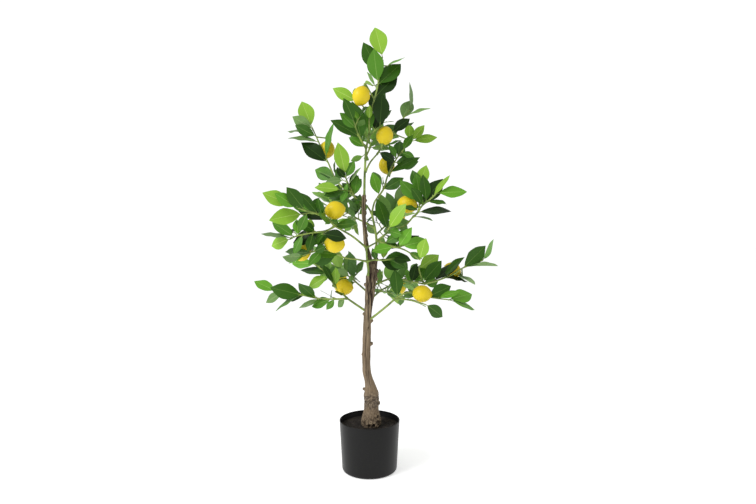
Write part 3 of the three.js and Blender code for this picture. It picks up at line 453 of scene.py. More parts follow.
# Balls that stand for limbs and leaves when clearances are tested
BALL = Sizes(leaf=5, rows=9, first=2, inner=3, spread=0.62, end=0.94, near=2, slack=4.5, on_limb=24)
# Leader and stub as the rule sees them: path, radii at its ends
RULE_WOOD = [
    ([[7, 0, 552], [0, 0, 577], [-8, 0, 608], [-13, 0, 656], [-16, 0, 712], [-14, 0, 746]], [7, 5.8]),
    ([[13, 0, 552], [17, 0, 580], [17.5, 0, 604]], [6, 5.2]),
]
# Finer side shoots with small leaves, which carry the rule on within each mass's reach
SHOOT = Sizes(
    full=6, back=13, start=0.15, end=0.95, reach=26, range=14, backward=1.1,
    leaves=[0.5, 0.78, 1], size=0.46, size_range=0.16, facing=[0.95, 0.35, 0.55],
    tries=24, inner=6, slack=2.5, wood_slack=1, near=130, ring_shift=2,
)
# Masses that have another number of shoots than the usual
FEW_SHOOTS = {
    "low_left": 1, "low_left_outer": 1, "upper_left": 1, "crown_top_right": 1, "right_outer": 1,
    "low_right": 1, "back_low_left": 3,
}
# Added to each mass's seed for the dice of its shoots and of its leaves' forms
SHOOT_SEED = 500
FORM_SEED = 1000
# The dice work on whole numbers of 32 bits, and move on by a fixed step.
WORD = 0xFFFFFFFF
DICE_STEP = 0x6D2B79F5

# Radii at the two ends of each kind of stem, and the collar that it starts with: thickness, length
STEM_FORMS = {
    "limb": (None, 0.9, 9), "stem": ([2.7, 1.8], 0.7, 9), "twig": ([2.3, 1.5], 0.7, 9),
    "shoot": ([1.5, 1.0], 0.4, 5), "stalk": ([1.9, 2.2], 0.4, 9),
}
COLLAR_SLOPE = 0.35
STEM_SIDES = {"green_stems": 12, "twigs": 8}
# Stalk of a leaf, and the bud in the angle that it makes with its twig
PETIOLE = Sizes(start=-0.02, past=0.08, under=0.5, radii=(1.5, 1.2, 1.05, 1, 0.95, 0.6), small=0.7)
BUD = Sizes(lift=0.9, reaches=(0.5, 2.2, 3.6, 4.8, 5.6), radii=(1.2, 1.5, 1.3, 0.8, 0.2))

# Pressed leaf. A grid is the rows of its mesh and the columns left of its midrib. The shape is in shares of
# its length or half width, but the thicknesses and the midrib are millimetres. Fullness and waves are a
# least value and a span.
BLADE = Sizes(
    grid=(10, [-1, -0.52]), small_grid=(6, [-1]), start=0.07,
    base_power=0.85, tip_power=1.05, tip_from=0.4, fullness=(0.88, 0.18),
    fold=0.24, fold_swing=0.16, curl=0.16, least_curl=0.5, wave=0.016, least_wave=0.4,
    waves=(1.5, 1.5), offset=0.35, twist=14, side_bend=0.05, droop=0.07, lift=0.35, sharp=38,
    rib=0.55, rib_taper=1.15, rib_least=0.12, rib_most=0.2, ridge=0.12, keel=0.35,
    thick=0.45, edge=0.12,
)
# Lemon: its mesh, its outline as shares of its length and radius, and its pits
FRUIT = Sizes(
    sides=48, rings=36, pits=0.22, pit_pitch=3.4, fullness=0.52, body_end=0.98,
    nipple=0.12, nipple_middle=0.92, nipple_half=0.08, blend=6,
    pit_squash=0.6, pit_slope=2.2, smooth_middle=1,
)
# Green star at the lemon's stem end: its profile as radius and height, and its lobes
CALYX = Sizes(
    sides=20, profile=[[0, -3.5], [2.6, -3.4], [3, -1.4], [5.8, 0.6], [5.4, 1.6], [0, 1.8]],
    lobes=5, lobe_depth=0.3, lobes_from=4,
)

# Tones of a leaf as seen in soft light: upper side, midrib, underside. The light and bright tones are
# partly painted backlight, the dark and deep ones partly painted shade of inner leaves.
TONE_COLOURS = {
    "light": [(130, 173, 54), (172, 199, 104), (138, 175, 78)],
    "bright": [(98, 156, 42), (142, 186, 88), (116, 160, 70)],
    "mid": [(77, 127, 36), (122, 160, 78), (106, 146, 68)],
    "dark": [(50, 91, 19), (96, 129, 56), (84, 122, 56)],
    "deep": [(28, 54, 11), (62, 92, 36), (62, 96, 42)],
    "grey": [(104, 138, 76), (138, 162, 104), (116, 148, 86)],
}
LEAF_ROUGHNESS = {"upper": 0.42, "midrib": 0.42, "under": 0.55}
# Tones dealt out to the leaves that have none in the tables
DEALT_TONES = [BRIGHT, MID, DARK, LIGHT, DARK, DEEP, MID, BRIGHT, DARK, GREY, MID]


def dice(seed):
    """Seeded dice, the same numbers on every run."""
    state = seed

    def roll():
        nonlocal state
        state = (state + DICE_STEP) & WORD
        mix = ((state ^ (state >> 15)) * (state | 1)) & WORD
        mix ^= (mix + (((mix ^ (mix >> 7)) * (mix | 61)) & WORD)) & WORD
        return (mix ^ (mix >> 14)) / (WORD + 1)

    return roll


def swinging(roll, most=1):
    """Dice that fall evenly between minus the most and the most."""
    return lambda: most * (2 * roll() - 1)


def ramp(value, start, over):
    """0 up to the start, 1 from where the rise is over, straight between."""
    return min(max((value - start) / over, 0), 1)


def unit(v):
    """A vector's direction, one long."""
    return v / np.linalg.norm(v)


def square_to(way, v):
    """Direction of the part of a vector that is square to a way."""
    return unit(v - way * (v @ way))


def turned_about(v, axis, angle):
    """A vector turned about an axis."""
    cos, sin = math.cos(angle), math.sin(angle)
    return v * cos + np.cross(axis, v) * sin + axis * (axis @ v) * (1 - cos)


def curve(path, steps):
    """Smooth curve through the points of a path, as a fine polyline."""
    points = np.array(path, float)
    ends = np.vstack([points[:1], points, points[-1:]])
    line = []
    for a, b, c, d in zip(ends, ends[1:], ends[2:], ends[3:]):
        for k in range(steps):
            t = k / steps
            line.append(0.5 * (
                2 * b + (c - a) * t
                + (2 * a - 5 * b + 4 * c - d) * t * t
                + (3 * b - a - 3 * c + d) * t ** 3
            ))
    line.append(points[-1])
    return np.array(line)


def walk(line, share):
    """Point and direction at a share of a polyline's length."""
    lengths = np.linalg.norm(np.diff(line, axis=0), axis=1)
    left = share * lengths.sum()
    i = 0
    while i < len(lengths) - 1 and left > lengths[i]:
        left -= lengths[i]
        i += 1
    along = unit(line[i + 1] - line[i])
    return line[i] + along * left, along


def limb_balls(line, radii, extra):
    """Balls along a line that stand for a limb."""
    shares = np.arange(BALL.on_limb) / (BALL.on_limb - 1)
    centres = np.array([walk(line, share)[0] for share in shares])
    return np.column_stack([centres, radii[0] + (radii[-1] - radii[0]) * shares + extra])


def spine_at(leaf, share):
    """Point on a leaf's sagging spine at a share of its length."""
    sag = LEAF.sag * leaf["length"] * share * share
    return leaf["base"] + leaf["along"] * share * leaf["length"] - leaf["up"] * sag


def leaf_balls(leaf):
    """Balls that stand for a leaf."""
    across = np.cross(leaf["up"], leaf["along"])
    half = leaf["length"] * LEAF.width / 2
    balls = []
    for row in range(BALL.first, BALL.rows + 1):
        share = row / BALL.rows
        wide = half * math.sin(math.pi * share * BALL.end) * BALL.spread
        for side in (-1, 0, 1):
            balls.append([*(spine_at(leaf, share) + across * side * wide), BALL.leaf])
    return np.array(balls)


def clear_of(balls, others, slack=0.0):
    """Whether no ball reaches deeper into the others than the slack."""
    if not len(others):
        return True
    apart = np.linalg.norm(balls[:, None, :3] - others[None, :, :3], axis=2)
    return bool((apart > balls[:, None, 3] + others[None, :, 3] - slack).all())


def has_rows(mass):
    """Whether a mass's leaves are placed by rows, not by the ring rule."""
    return isinstance(mass["leaves"], list)


def front_of(mass):
    """-1 for a mass that grows to the front, 1 for one that grows to the back."""
    return -1 if mass["stem"][-1][1] < mass["stem"][0][1] else 1


def leaf_rows(mass):
    """Rows of leaves of a mass's stem. A plain count is spread evenly from its bare share to its tip."""
    if has_rows(mass):
        return mass["leaves"]
    last = mass["leaves"] - 1
    return [[mass["bare"] + (1 - mass["bare"]) * index / last] for index in range(mass["leaves"])]


def shoots(mass):
    """A mass's dice, and its every stem, twig and lemon."""
    roll = dice(mass["seed"])
    steps = RULE_STEPS.twig
    stems = [{"path": mass["stem"], "line": curve(mass["stem"], steps), "leaves": leaf_rows(mass)}]
    for at, tip, leaves in mass.get("twigs", []):
        root = walk(stems[0]["line"], at)[0]
        reach = np.linalg.norm(np.array(tip, float) - root)
        middle = (root + tip) / 2
        middle[2] += reach * TWIG.rise * (roll() - TWIG.fall)
        middle[1] += reach * TWIG.stray * (roll() - 0.5)
        path = [root, middle, np.array(tip, float)]
        stems.append({"path": path, "line": curve(path, steps), "leaves": leaves})
    fruit = []
    for x, y, z, clock in mass.get("lemons", []):
        lean = LEMON.lean * (roll() - 0.5)
        angle = math.radians(clock)
        along = unit(np.array([math.cos(angle), lean, math.sin(angle)]))
        centre = np.array([x, y, z], float)
        stem_end = centre - along * LEMON.length / 2
        line = stems[0]["line"]
        nearest = line[np.argmin(np.linalg.norm(line - stem_end, axis=1))]
        stalk = [nearest, stem_end - along * LEMON.neck, stem_end + along * LEMON.sunk]
        fruit.append({"centre": centre, "end": stem_end, "along": along, "stalk": stalk})
    return roll, stems, fruit


def by_row(clock_angle, front, swing):
    """Way that a leaf points when its row gives the clock angle."""
    clock = math.radians(clock_angle + ROW_RULE.clock * swing())
    depth = math.radians(ROW_RULE.depth * swing() + ROW_RULE.lean * front)
    return np.array([
        math.cos(clock) * math.cos(depth), math.sin(depth), math.sin(clock) * math.cos(depth),
    ])


def by_ring(index, share, along, seed, swing, roll):
    """Way that a leaf points when the ring rule sets it round its stem."""
    clock = RING_RULE.step * index + RING_RULE.start * seed
    ring = math.radians(clock + RING_RULE.swing * swing())
    beside_stem = RING_RULE.spread + RING_RULE.spread_swing * swing()
    spread = math.radians(RING_RULE.tip_spread if share == 1 else beside_stem)
    side = square_to(along, UP)
    other = np.cross(along, side)
    way = along * math.cos(spread) + (side * math.cos(ring) + other * math.sin(ring)) * math.sin(spread)
    way[2] += RING_RULE.lift * roll()
    return way


def turned(mass, stem, index, roll, widening):
    """One turn of the dice for a leaf."""
    row = stem["leaves"][index]
    share = row[0]
    base, along = walk(stem["line"], share)
    swing = swinging(roll, widening)
    front = front_of(mass)
    placed = len(row) > 1
    if placed:
        way = unit(by_row(row[1], front, swing))
    else:
        way = unit(by_ring(index, share, along, mass["seed"], swing, roll))
    sideways, outward, upward = (ROW_RULE if placed else RING_RULE).facing
    face = np.array([sideways * swing(), outward if placed else outward * front, upward])
    if placed:
        hand = 1 if (index + mass["seed"]) % 2 else -1
        angle = hand * row[3] + ROW_RULE.roll * swing()
        size = row[2]
    else:
        angle = RING_RULE.roll * swing()
        size = RING_RULE.shortest + RING_RULE.range * roll()
    return {
        "base": base, "along": way, "up": turned_about(square_to(way, face), way, math.radians(angle)),
        "length": mass["leaf"] * size, "share": share, "tone": row[4] if placed else None,
    }


def place_leaf(own, stem, index, blocked):
    """Turns the dice until a leaf is clear, or leaves it out."""
    for attempt in range(TRIES.count):
        leaf = turned(own["mass"], stem, index, own["roll"], 1 + attempt * TRIES.widening)
        balls = leaf_balls(leaf)
        outer = balls[BALL.inner:]
        if not clear_of(balls, blocked) or not clear_of(outer, own["round_fruit"]):
            continue
        if clear_of(outer, np.vstack([own["leaf_balls"], own["wood"]]), BALL.slack):
            own["leaves"].append(leaf)
            own["leaf_balls"] = np.vstack([own["leaf_balls"], balls])
            return


def grow():
    """Grows every mass by the seeded rule: its leaves keep clear of limbs, fruit and other masses."""
    solid = [[lean, 0, height, radius + BALL.near] for height, lean, radius in TRUNK_STATIONS]
    for path, radii in [*RULE_WOOD, *GREEN_LIMBS.values()]:
        solid.extend(limb_balls(curve(path, RULE_STEPS.limb), radii, BALL.near))
    solid = np.array(solid, float)
    grown = {}
    for name, mass in MASSES.items():
        roll, stems, fruit = shoots(mass)
        grown[name] = {
            "mass": mass, "roll": roll, "stems": stems, "fruit": fruit, "leaves": [],
            "wood": np.vstack([limb_balls(stem["line"], [0, 0], BALL.near) for stem in stems]),
            "round_fruit": np.array([[*item["centre"], LEMON.radius] for item in fruit]).reshape(-1, 4),
            "leaf_balls": np.zeros((0, 4)),
        }
    for name, own in grown.items():
        others = [grown[other] for other in grown if other != name]
        blocked = np.vstack([solid] + [
            np.vstack([other["wood"], other["round_fruit"], other["leaf_balls"]]) for other in others
        ])
        for stem in own["stems"]:
            for index in range(len(stem["leaves"])):
                place_leaf(own, stem, index, blocked)
    return grown, solid


def side_shoot(own, number, count, roll):
    """One turn of the dice for a fine side shoot with its small leaves."""
    mass = own["mass"]
    swing = swinging(roll)
    share = SHOOT.start + (SHOOT.end - SHOOT.start) * (number + roll()) / count
    base, along = walk(own["stems"][0]["line"], share)
    way = by_ring(number, share, along, mass["seed"] + SHOOT.ring_shift, swing, roll)
    if has_rows(mass):
        way[1] = abs(way[1]) + SHOOT.backward
    reach = SHOOT.reach + SHOOT.range * roll()
    tip = base + unit(way) * reach
    middle = (base + tip) / 2 + np.array([0, 0, reach * TWIG.rise * (roll() - TWIG.fall)])
    line = curve([base, middle, tip], RULE_STEPS.twig)
    sideways, outward, upward = SHOOT.facing
    leaves = []
    for index, place in enumerate(SHOOT.leaves):
        root, onward = walk(line, place)
        way = unit(by_ring(index, place, onward, mass["seed"] + number, swing, roll))
        face = np.array([sideways * swing(), outward * front_of(mass), upward])
        up = turned_about(square_to(way, face), way, math.radians(RING_RULE.roll * swing()))
        size = SHOOT.size + SHOOT.size_range * roll()
        leaves.append({"base": root, "along": way, "up": up, "length": mass["leaf"] * size, "small": True})
    return {"path": [base, middle, tip], "line": line, "leaves": leaves}


def add_finer(grown, solid):
    """Carries the rule on to finer twigs, each clear of all that has grown."""
    taken = [solid]
    for own in grown.values():
        taken += [own["wood"], own["round_fruit"], own["leaf_balls"]]
    taken = np.vstack(taken)
    for name, own in grown.items():
        mass = own["mass"]
        count = FEW_SHOOTS.get(name, SHOOT.full if has_rows(mass) else SHOOT.back)
        roll = dice(mass["seed"] + SHOOT_SEED)
        own["shoots"] = []
        for number in range(count):
            for attempt in range(SHOOT.tries):
                shoot = side_shoot(own, number, count, roll)
                wood = limb_balls(shoot["line"], [0, 0], BALL.near)[SHOOT.inner:]
                blades = np.vstack([leaf_balls(leaf) for leaf in shoot["leaves"]])
                near = taken[np.linalg.norm(taken[:, :3] - shoot["path"][0], axis=1) < SHOOT.near]
                if clear_of(wood, near, SHOOT.wood_slack) and clear_of(blades, near, SHOOT.slack):
                    own["shoots"].append(shoot)
                    taken = np.vstack([taken, wood, blades])
                    break


def linear(rgb):
    """Colour of the 0 to 255 kind as the shader's numbers."""
    shares = [value / 255 for value in rgb]
    return (*[s / 12.92 if s <= 0.04045 else ((s + 0.055) / 1.055) ** 2.4 for s in shares], 1)


class Number:
    """A value that changes over a surface. Its operators add Math nodes."""

    def __init__(self, graph, socket):
        self.graph = graph
        self.socket = socket

    def math(self, operation, first, second):
        """What a Math node makes of two values."""
        node = self.graph.node("ShaderNodeMath", {"operation": operation}, {0: first, 1: second})
        return Number(self.graph, node.outputs[0])

    def __add__(self, other):
        return self.math("ADD", self, other)

    __radd__ = __add__

    def __sub__(self, other):
        return self.math("SUBTRACT", self, other)

    def __rsub__(self, other):
        return self.math("SUBTRACT", other, self)

    def __mul__(self, other):
        return self.math("MULTIPLY", self, other)

    __rmul__ = __mul__


class Graph:
    """A node tree that nodes are added to."""

    def __init__(self, tree):
        self.tree = tree

    def node(self, kind, settings, values):
        """One node: its settings first, then the values or links of its sockets."""
        node = self.tree.nodes.new(kind)
        for name, value in settings.items():
            setattr(node, name, value)
        for socket, value in values.items():
            self.give(node.inputs[socket], value)
        return node

    def give(self, socket, value):
        """A link to the socket, or the value on it."""
        value = getattr(value, "socket", value)
        if isinstance(value, bpy.types.NodeSocket):
            self.tree.links.new(value, socket)
        else:
            socket.default_value = value


class Finish(Graph):
    """A material with a surface shader, and the patterns that feed it."""

    def __init__(self, name, fixed):
        self.material = bpy.data.materials.new(name)
        self.material.use_nodes = True
        super().__init__(self.material.node_tree)
        self.surface = self.tree.nodes["Principled BSDF"]
        for socket, value in fixed.items():
            self.surface.inputs[socket].default_value = value

    def place(self, stretch=(1, 1, 1)):
        """Place on the object, squeezed by the stretch."""
        coordinates = self.node("ShaderNodeTexCoord", {}, {})
        vector = coordinates.outputs["Object"]
        return self.node("ShaderNodeMapping", {}, {"Vector": vector, "Scale": stretch}).outputs["Vector"]

    def height(self):
        """Height above the floor, in metres."""
        split = self.node("ShaderNodeSeparateXYZ", {}, {0: self.place()})
        return Number(self, split.outputs["Z"])

    def noise(self, pitch, stretch=(1, 1, 1), detail=3):
        """Soft noise of a pitch in millimetres."""
        texture = self.node("ShaderNodeTexNoise", {}, {
            "Vector": self.place(stretch), "Scale": 1 / (pitch * MM), "Detail": detail,
        })
        return Number(self, texture.outputs["Fac"])

    def attribute(self, name):
        """A mesh's own value."""
        return Number(self, self.node("ShaderNodeAttribute", {"attribute_name": name}, {}).outputs["Fac"])

    def step(self, value, low, high):
        """0 below the low value, 1 above the high one, smooth between."""
        node = self.node("ShaderNodeMapRange", {"interpolation_type": "SMOOTHSTEP"}, {
            "Value": value, "From Min": low, "From Max": high,
        })
        return Number(self, node.outputs["Result"])

    def mix(self, share, *colours):
        """Colour between two colours, each of the 0 to 255 kind or the result of another mix."""
        first, second = [linear(colour) if isinstance(colour, tuple) else colour for colour in colours]
        node = self.node("ShaderNodeMix", {"data_type": "RGBA"}, {0: share, 6: first, 7: second})
        return node.outputs[2]

    def feed(self, socket, value):
        """What changes over the surface, led to the shader."""
        self.give(self.surface.inputs[socket], value)

    def bump(self, height, depth):
        """Relief of a depth in millimetres."""
        node = self.node("ShaderNodeBump", {}, {"Height": height, "Distance": depth * MM})
        self.feed("Normal", node.outputs["Normal"])


def pot_plastic():
    """Charcoal moulded plastic, satin, with faint flow marks and scuffs."""
    finish = Finish("charcoal_pot_plastic", {"Specular IOR Level": 0.21})
    flow = finish.noise(30, (1, 1, 0.25))
    scuff = finish.step(finish.noise(7, (1, 1, 3), 5), 0.58, 0.75)
    grain = finish.noise(0.7, detail=2)
    base = finish.mix(flow, (14, 14, 14), (20, 20, 20))
    finish.feed("Base Color", finish.mix(scuff * 0.35, base, (40, 40, 40)))
    finish.feed("Roughness", 0.3 + flow * 0.1 + scuff * 0.1)
    finish.bump(grain + flow * 2, 0.05)
    return finish.material


def fill_crust():
    """Near-black ground of the pot, dusty brown in places."""
    finish = Finish("dark_pot_fill", {"Roughness": 0.95, "Specular IOR Level": 0.2})
    dust = finish.step(finish.noise(16, detail=5), 0.45, 0.7)
    grit = finish.noise(1.2)
    dark = finish.mix(grit, (30, 27, 26), (54, 49, 45))
    finish.feed("Base Color", finish.mix(dust * 0.6, dark, (68, 61, 54)))
    finish.bump(grit, 0.6)
    return finish.material


def moulded_bark():
    """Bark painted tan-grey at the foot and brown above, with a crusty bulge, painted shade in furrows,
    hollows, pits and at the fill, and painted light on lumps.
    """
    finish = Finish("painted_bark", {"Specular IOR Level": 0.25})
    height = finish.height()
    # Painted shade that the mesh holds for each point, deepest where the relief sinks most
    painted_hollow_shade = finish.attribute("painted_hollow_shade")
    streaks = finish.noise(3.2, (1, 1, 0.07), 4)
    patches = finish.noise(14, (1, 1, 0.4), 4)
    crumbs = finish.noise(1.6, (1, 1, 0.5), 4)
    # Mask of the painted pits and lumps: low in the pits, high on the lumps
    rough = finish.step(finish.noise(4.6, (1, 1, 0.8), 3), 0.4, 0.58)

    def past(zone, at=height):
        """0 below a zone where the paint changes, 1 above it."""
        return finish.step(at, *PAINT[zone])

    uneven = height + patches * 0.05
    bulge = past("bulge", uneven) * (1 - past("above_bulge", uneven))
    fork = past("fork") * (1 - past("above_fork"))
    foot = 1 - past("foot")
    # Painted shade at the foot, where the trunk meets the fill
    ground = 1 - past("ground", height + crumbs * 0.012)
    crust = bulge * finish.step(crumbs + patches * 0.6, 0.72, 0.92)
    # Partly the crust's own brown and tan blotches, partly painted shade in pits and painted light on lumps
    pit_shade_and_lump_light = finish.mix(rough, (58, 47, 38), (152, 134, 110))
    lower = finish.mix(streaks, (96, 80, 60), (156, 136, 110))
    lower = finish.mix(finish.step(patches, 0.5, 0.75) * 0.45, lower, (120, 109, 96))
    # The bulge and the foot take the painted pit shade and lump light
    lower = finish.mix(bulge * 0.85 + foot * 0.6, lower, pit_shade_and_lump_light)
    upper = finish.mix(finish.step(streaks, 0.34, 0.66), (94, 81, 62), (160, 142, 114))
    wood = finish.mix(past("upper", height + patches * 0.08), lower, upper)
    for share, paint in [
        (crust * 0.6, (84, 76, 70)),
        (past("leader") * 0.45, (86, 74, 46)),
        (fork * finish.step(patches, 0.42, 0.58) * 0.6, (62, 46, 38)),
        # Painted shade in the furrows, grain lines, hollows and crust troughs of the relief
        (painted_hollow_shade * 0.9, (40, 31, 26)),
        # painted shade where the trunk meets the fill
        (ground * 0.8, (44, 36, 29)),
    ]:
        wood = finish.mix(share, wood, paint)
    finish.feed("Base Color", wood)
    finish.feed("Roughness", 0.66 + painted_hollow_shade * 0.25)
    finish.bump(streaks + crumbs * 0.6, 0.35)
    return finish.material


def stem_plastic():
    """Yellow-green moulded stem, duller in patches, with darker green patches of painted shade set at
    random.
    """
    finish = Finish("green_stem_plastic", {"Specular IOR Level": 0.4})
    # Patches of painted shade, also a little duller
    painted_shade_patches = finish.noise(26)
    flecks = finish.step(finish.noise(2.2, (1, 1, 0.35)), 0.55, 0.75)
    # Darker green where the patches of painted shade fall
    base = finish.mix(finish.step(painted_shade_patches, 0.36, 0.64), (88, 112, 42), (142, 164, 76))
    finish.feed("Base Color", finish.mix(flecks * 0.3, base, (168, 178, 106)))
    finish.feed("Roughness", 0.42 + painted_shade_patches * 0.15)
    finish.bump(finish.noise(1.4, (1, 1, 0.3)), 0.12)
    return finish.material


def plain(name, rgb, roughness, coat=0.0):
    """A plain colour for what is dealt out by leaf or by fruit."""
    return Finish(name, {
        "Base Color": linear(rgb), "Roughness": roughness, "Specular IOR Level": 0.18,
        "Coat Weight": coat, "Coat Roughness": 0.35,
    }).material


def added(name, data):
    """New object in the scene."""
    thing = bpy.data.objects.new(name, data)
    bpy.context.collection.objects.link(thing)
    return thing


def settled(carrier):
    """Plain mesh of an object as its modifiers leave it. The object goes."""
    depsgraph = bpy.context.evaluated_depsgraph_get()
    mesh = bpy.data.meshes.new_from_object(carrier.evaluated_get(depsgraph))
    bpy.data.objects.remove(carrier)
    return mesh


def mesh_piece(name, points, faces, materials, finishes=None, sharp=0):
    """Object of points in millimetres, smooth shaded but at edges above a sharp angle that is given."""
    mesh = bpy.data.meshes.new(name)
    mesh.from_pydata((points * MM).tolist(), [], faces)
    for material in materials:
        mesh.materials.append(material)
    mesh.polygons.foreach_set("use_smooth", [True] * len(mesh.polygons))
    if finishes:
        mesh.polygons.foreach_set("material_index", finishes)
    mesh.validate()
    if sharp:
        mesh.set_sharp_from_angle(angle=math.radians(sharp))
    return added(name, mesh)


class Heap:
    """Shapes that are joined into one piece, in millimetres, each face with its finish."""

    def __init__(self):
        self.points = []
        self.faces = []
        self.finishes = []
        self.count = 0

    def add(self, points, faces, finishes=0):
        """One more shape. A list gives each face's finish, a number that of all."""
        self.points.append(np.asarray(points, float))
        self.faces.extend([[index + self.count for index in face] for face in faces])
        self.finishes.extend(finishes if isinstance(finishes, list) else [finishes] * len(faces))
        self.count += len(points)

    def piece(self, name, materials, sharp=0):
        """The shapes as one object."""
        return mesh_piece(name, np.vstack(self.points), self.faces, materials, self.finishes, sharp)


class Growth(Graph):
    """A Geometry Nodes tree with named inputs. It ends in real geometry of one material."""

    def __init__(self, name, inputs):
        super().__init__(bpy.data.node_groups.new(name, "GeometryNodeTree"))
        self.sockets = {
            socket: self.add_socket(socket, kind, "INPUT").identifier for socket, kind in inputs.items()
        }
        self.add_socket("Made", "Geometry", "OUTPUT")
        self.given = self.node("NodeGroupInput", {}, {})

    def add_socket(self, name, kind, way):
        """One input or output of the tree."""
        return self.tree.interface.new_socket(name, in_out=way, socket_type="NodeSocket" + kind)

    def end(self, made, material):
        """The last nodes, after what makes the shapes."""
        real = self.node("GeometryNodeRealizeInstances", {}, {"Geometry": made})
        painted = self.node("GeometryNodeSetMaterial", {}, {
            "Geometry": real.outputs[0], "Material": material,
        })
        self.node("NodeGroupOutput", {}, {"Made": painted.outputs[0]})

    def piece(self, name, carrier, values):
        """What grows on a carrier object, as a plain mesh in its place."""
        modifier = carrier.modifiers.new("grow", "NODES")
        modifier.node_group = self.tree
        for socket, value in values.items():
            modifier[self.sockets[socket]] = value
        mesh = settled(carrier)
        mesh.name = name
        return added(name, mesh)


def tube(line, radii, sides):
    """Closed tube along a line: its points and faces."""
    line = np.asarray(line, float)
    ways = np.gradient(line, axis=0)
    # Any way will do to start from that isn't nearly the line's own
    side = np.array([0.0, 1.0, 0.0]) if abs(unit(ways[0])[1]) < 0.9 else np.array([1.0, 0.0, 0.0])
    angles = np.arange(sides) * 2 * math.pi / sides
    points = []
    for centre, way, radius in zip(line, ways, radii):
        way = unit(way)
        side = square_to(way, side)
        across = np.cross(way, side)
        points.append(centre + radius * (np.outer(np.cos(angles), side) + np.outer(np.sin(angles), across)))
    faces = []
    for ring in range(len(line) - 1):
        for s in range(sides):
            a, b = ring * sides + s, ring * sides + (s + 1) % sides
            faces.append([a, b, b + sides, a + sides])
    last = (len(line) - 1) * sides
    faces.append(list(range(sides))[::-1])
    faces.append(list(range(last, last + sides)))
    return np.vstack(points), faces


def lathe(profile, sides):
    """Body turned round the vertical axis, from a profile that starts and ends on the axis."""
    angles = np.arange(sides) * 2 * math.pi / sides
    rings = profile[1:-1]
    points = [[0, 0, profile[0][1]], [0, 0, profile[-1][1]]]
    for radius, height in rings:
        ring = [np.cos(angles) * radius, np.sin(angles) * radius, np.full(sides, height)]
        points.extend(np.column_stack(ring).tolist())
    faces = []
    for s in range(sides):
        after = (s + 1) % sides
        faces.append([0, 2 + after, 2 + s])
        for ring in range(len(rings) - 1):
            a, b = 2 + ring * sides + s, 2 + ring * sides + after
            faces.append([a, b, b + sides, a + sides])
        last = 2 + (len(rings) - 1) * sides
        faces.append([last + s, last + after, 1])
    return np.array(points), faces


def arc(centre, radius, start, end):
    """Points of a round stretch of a profile. Angles in degrees."""
    angles = np.radians(np.linspace(start, end, POT.fillet_steps + 1))
    return [[centre[0] + radius * math.cos(a), centre[1] + radius * math.sin(a)] for a in angles]


def pot_shell():
    """Tapered shell with a rounded foot and a thin rounded rim."""
    wall, fillet, rim = POT.wall, POT.foot_fillet, POT.wall / 2
    foot = POT.base_radius - fillet
    ledge, rise = POT.ledge
    under_rim = POT.height - POT.lip_height
    inner, outer = POT.hollow_edge
    profile = [[0, POT.hollow], [foot * inner, POT.hollow], [foot * outer, 0]]
    profile += arc([foot, fillet], fillet, -90, 0)
    profile += arc([POT.lip_radius - rim, POT.height - rim], rim, 0, 180)
    profile += [
        [POT.wall_radius - wall + ledge, under_rim + rise],
        [POT.wall_radius - wall, under_rim],
        [POT.base_radius - wall, fillet],
        [foot, POT.floor],
        [0, POT.floor],
    ]
    points, faces = lathe(profile, POT.sides)
    return mesh_piece("pot_shell", points, faces, [pot_plastic()])


def fill_wall(height):
    """Radius of the fill at a height, clear of the pot's wall."""
    share = (height - POT.foot_fillet) / (POT.height - POT.lip_height - POT.foot_fillet)
    taper = POT.wall_radius - POT.base_radius
    return POT.base_radius + taper * share - POT.wall - GAP


def pot_fill():
    """Weighted ground of the pot, with a crumbly top."""
    top = fill_wall(FILL_TOP)
    bottom, shoulder = POT.floor + GAP, POT.foot_fillet + 2
    profile = [[0, bottom], [POT.base_radius - POT.foot_fillet - 1, bottom]]
    profile += [[fill_wall(shoulder), shoulder], [top, FILL_TOP - 1]]
    profile += [[radius, FILL_TOP] for radius in np.linspace(top - 1, 2, FILL.rings)]
    profile += [[0, FILL_TOP]]
    points, faces = lathe(profile, FILL.sides)
    for point in points:
        if point[2] > FILL_TOP - 0.5:
            patterns = FILL.lumps, FILL.grit
            rough = sum(noise.noise(Vector(point) / pitch) * depth for pitch, depth in patterns)
            point[2] += rough - FILL.sunk
    return mesh_piece("pot_fill", points, faces, [fill_crust()])


def scattered_crumbs(material):
    """Tree that scatters crumbs over a surface."""
    tree = Growth("scattered_crumbs", {
        "Surface": "Geometry", "Crumbs per square metre": "Float", "Crumb radius": "Float", "Seed": "Int",
    })
    given = tree.given.outputs
    points = tree.node("GeometryNodeDistributePointsOnFaces", {}, {
        "Mesh": given["Surface"], "Density": given["Crumbs per square metre"], "Seed": given["Seed"],
    })
    crumb = tree.node("GeometryNodeMeshIcoSphere", {}, {"Radius": given["Crumb radius"], "Subdivisions": 1})
    turn = tree.node("FunctionNodeRandomValue", {"data_type": "FLOAT_VECTOR"}, {
        "Min": (0, 0, 0), "Max": (CRUMBS.most_turn,) * 3, "Seed": given["Seed"],
    })
    size = tree.node("FunctionNodeRandomValue", {"data_type": "FLOAT_VECTOR"}, {
        "Min": CRUMBS.smallest, "Max": CRUMBS.largest, "Seed": CRUMBS.size_seed,
    })
    placed = tree.node("GeometryNodeInstanceOnPoints", {}, {
        "Points": points.outputs["Points"], "Instance": crumb.outputs["Mesh"],
        "Rotation": turn.outputs[0], "Scale": size.outputs[0],
    })
    tree.end(placed.outputs[0], material)
    return tree


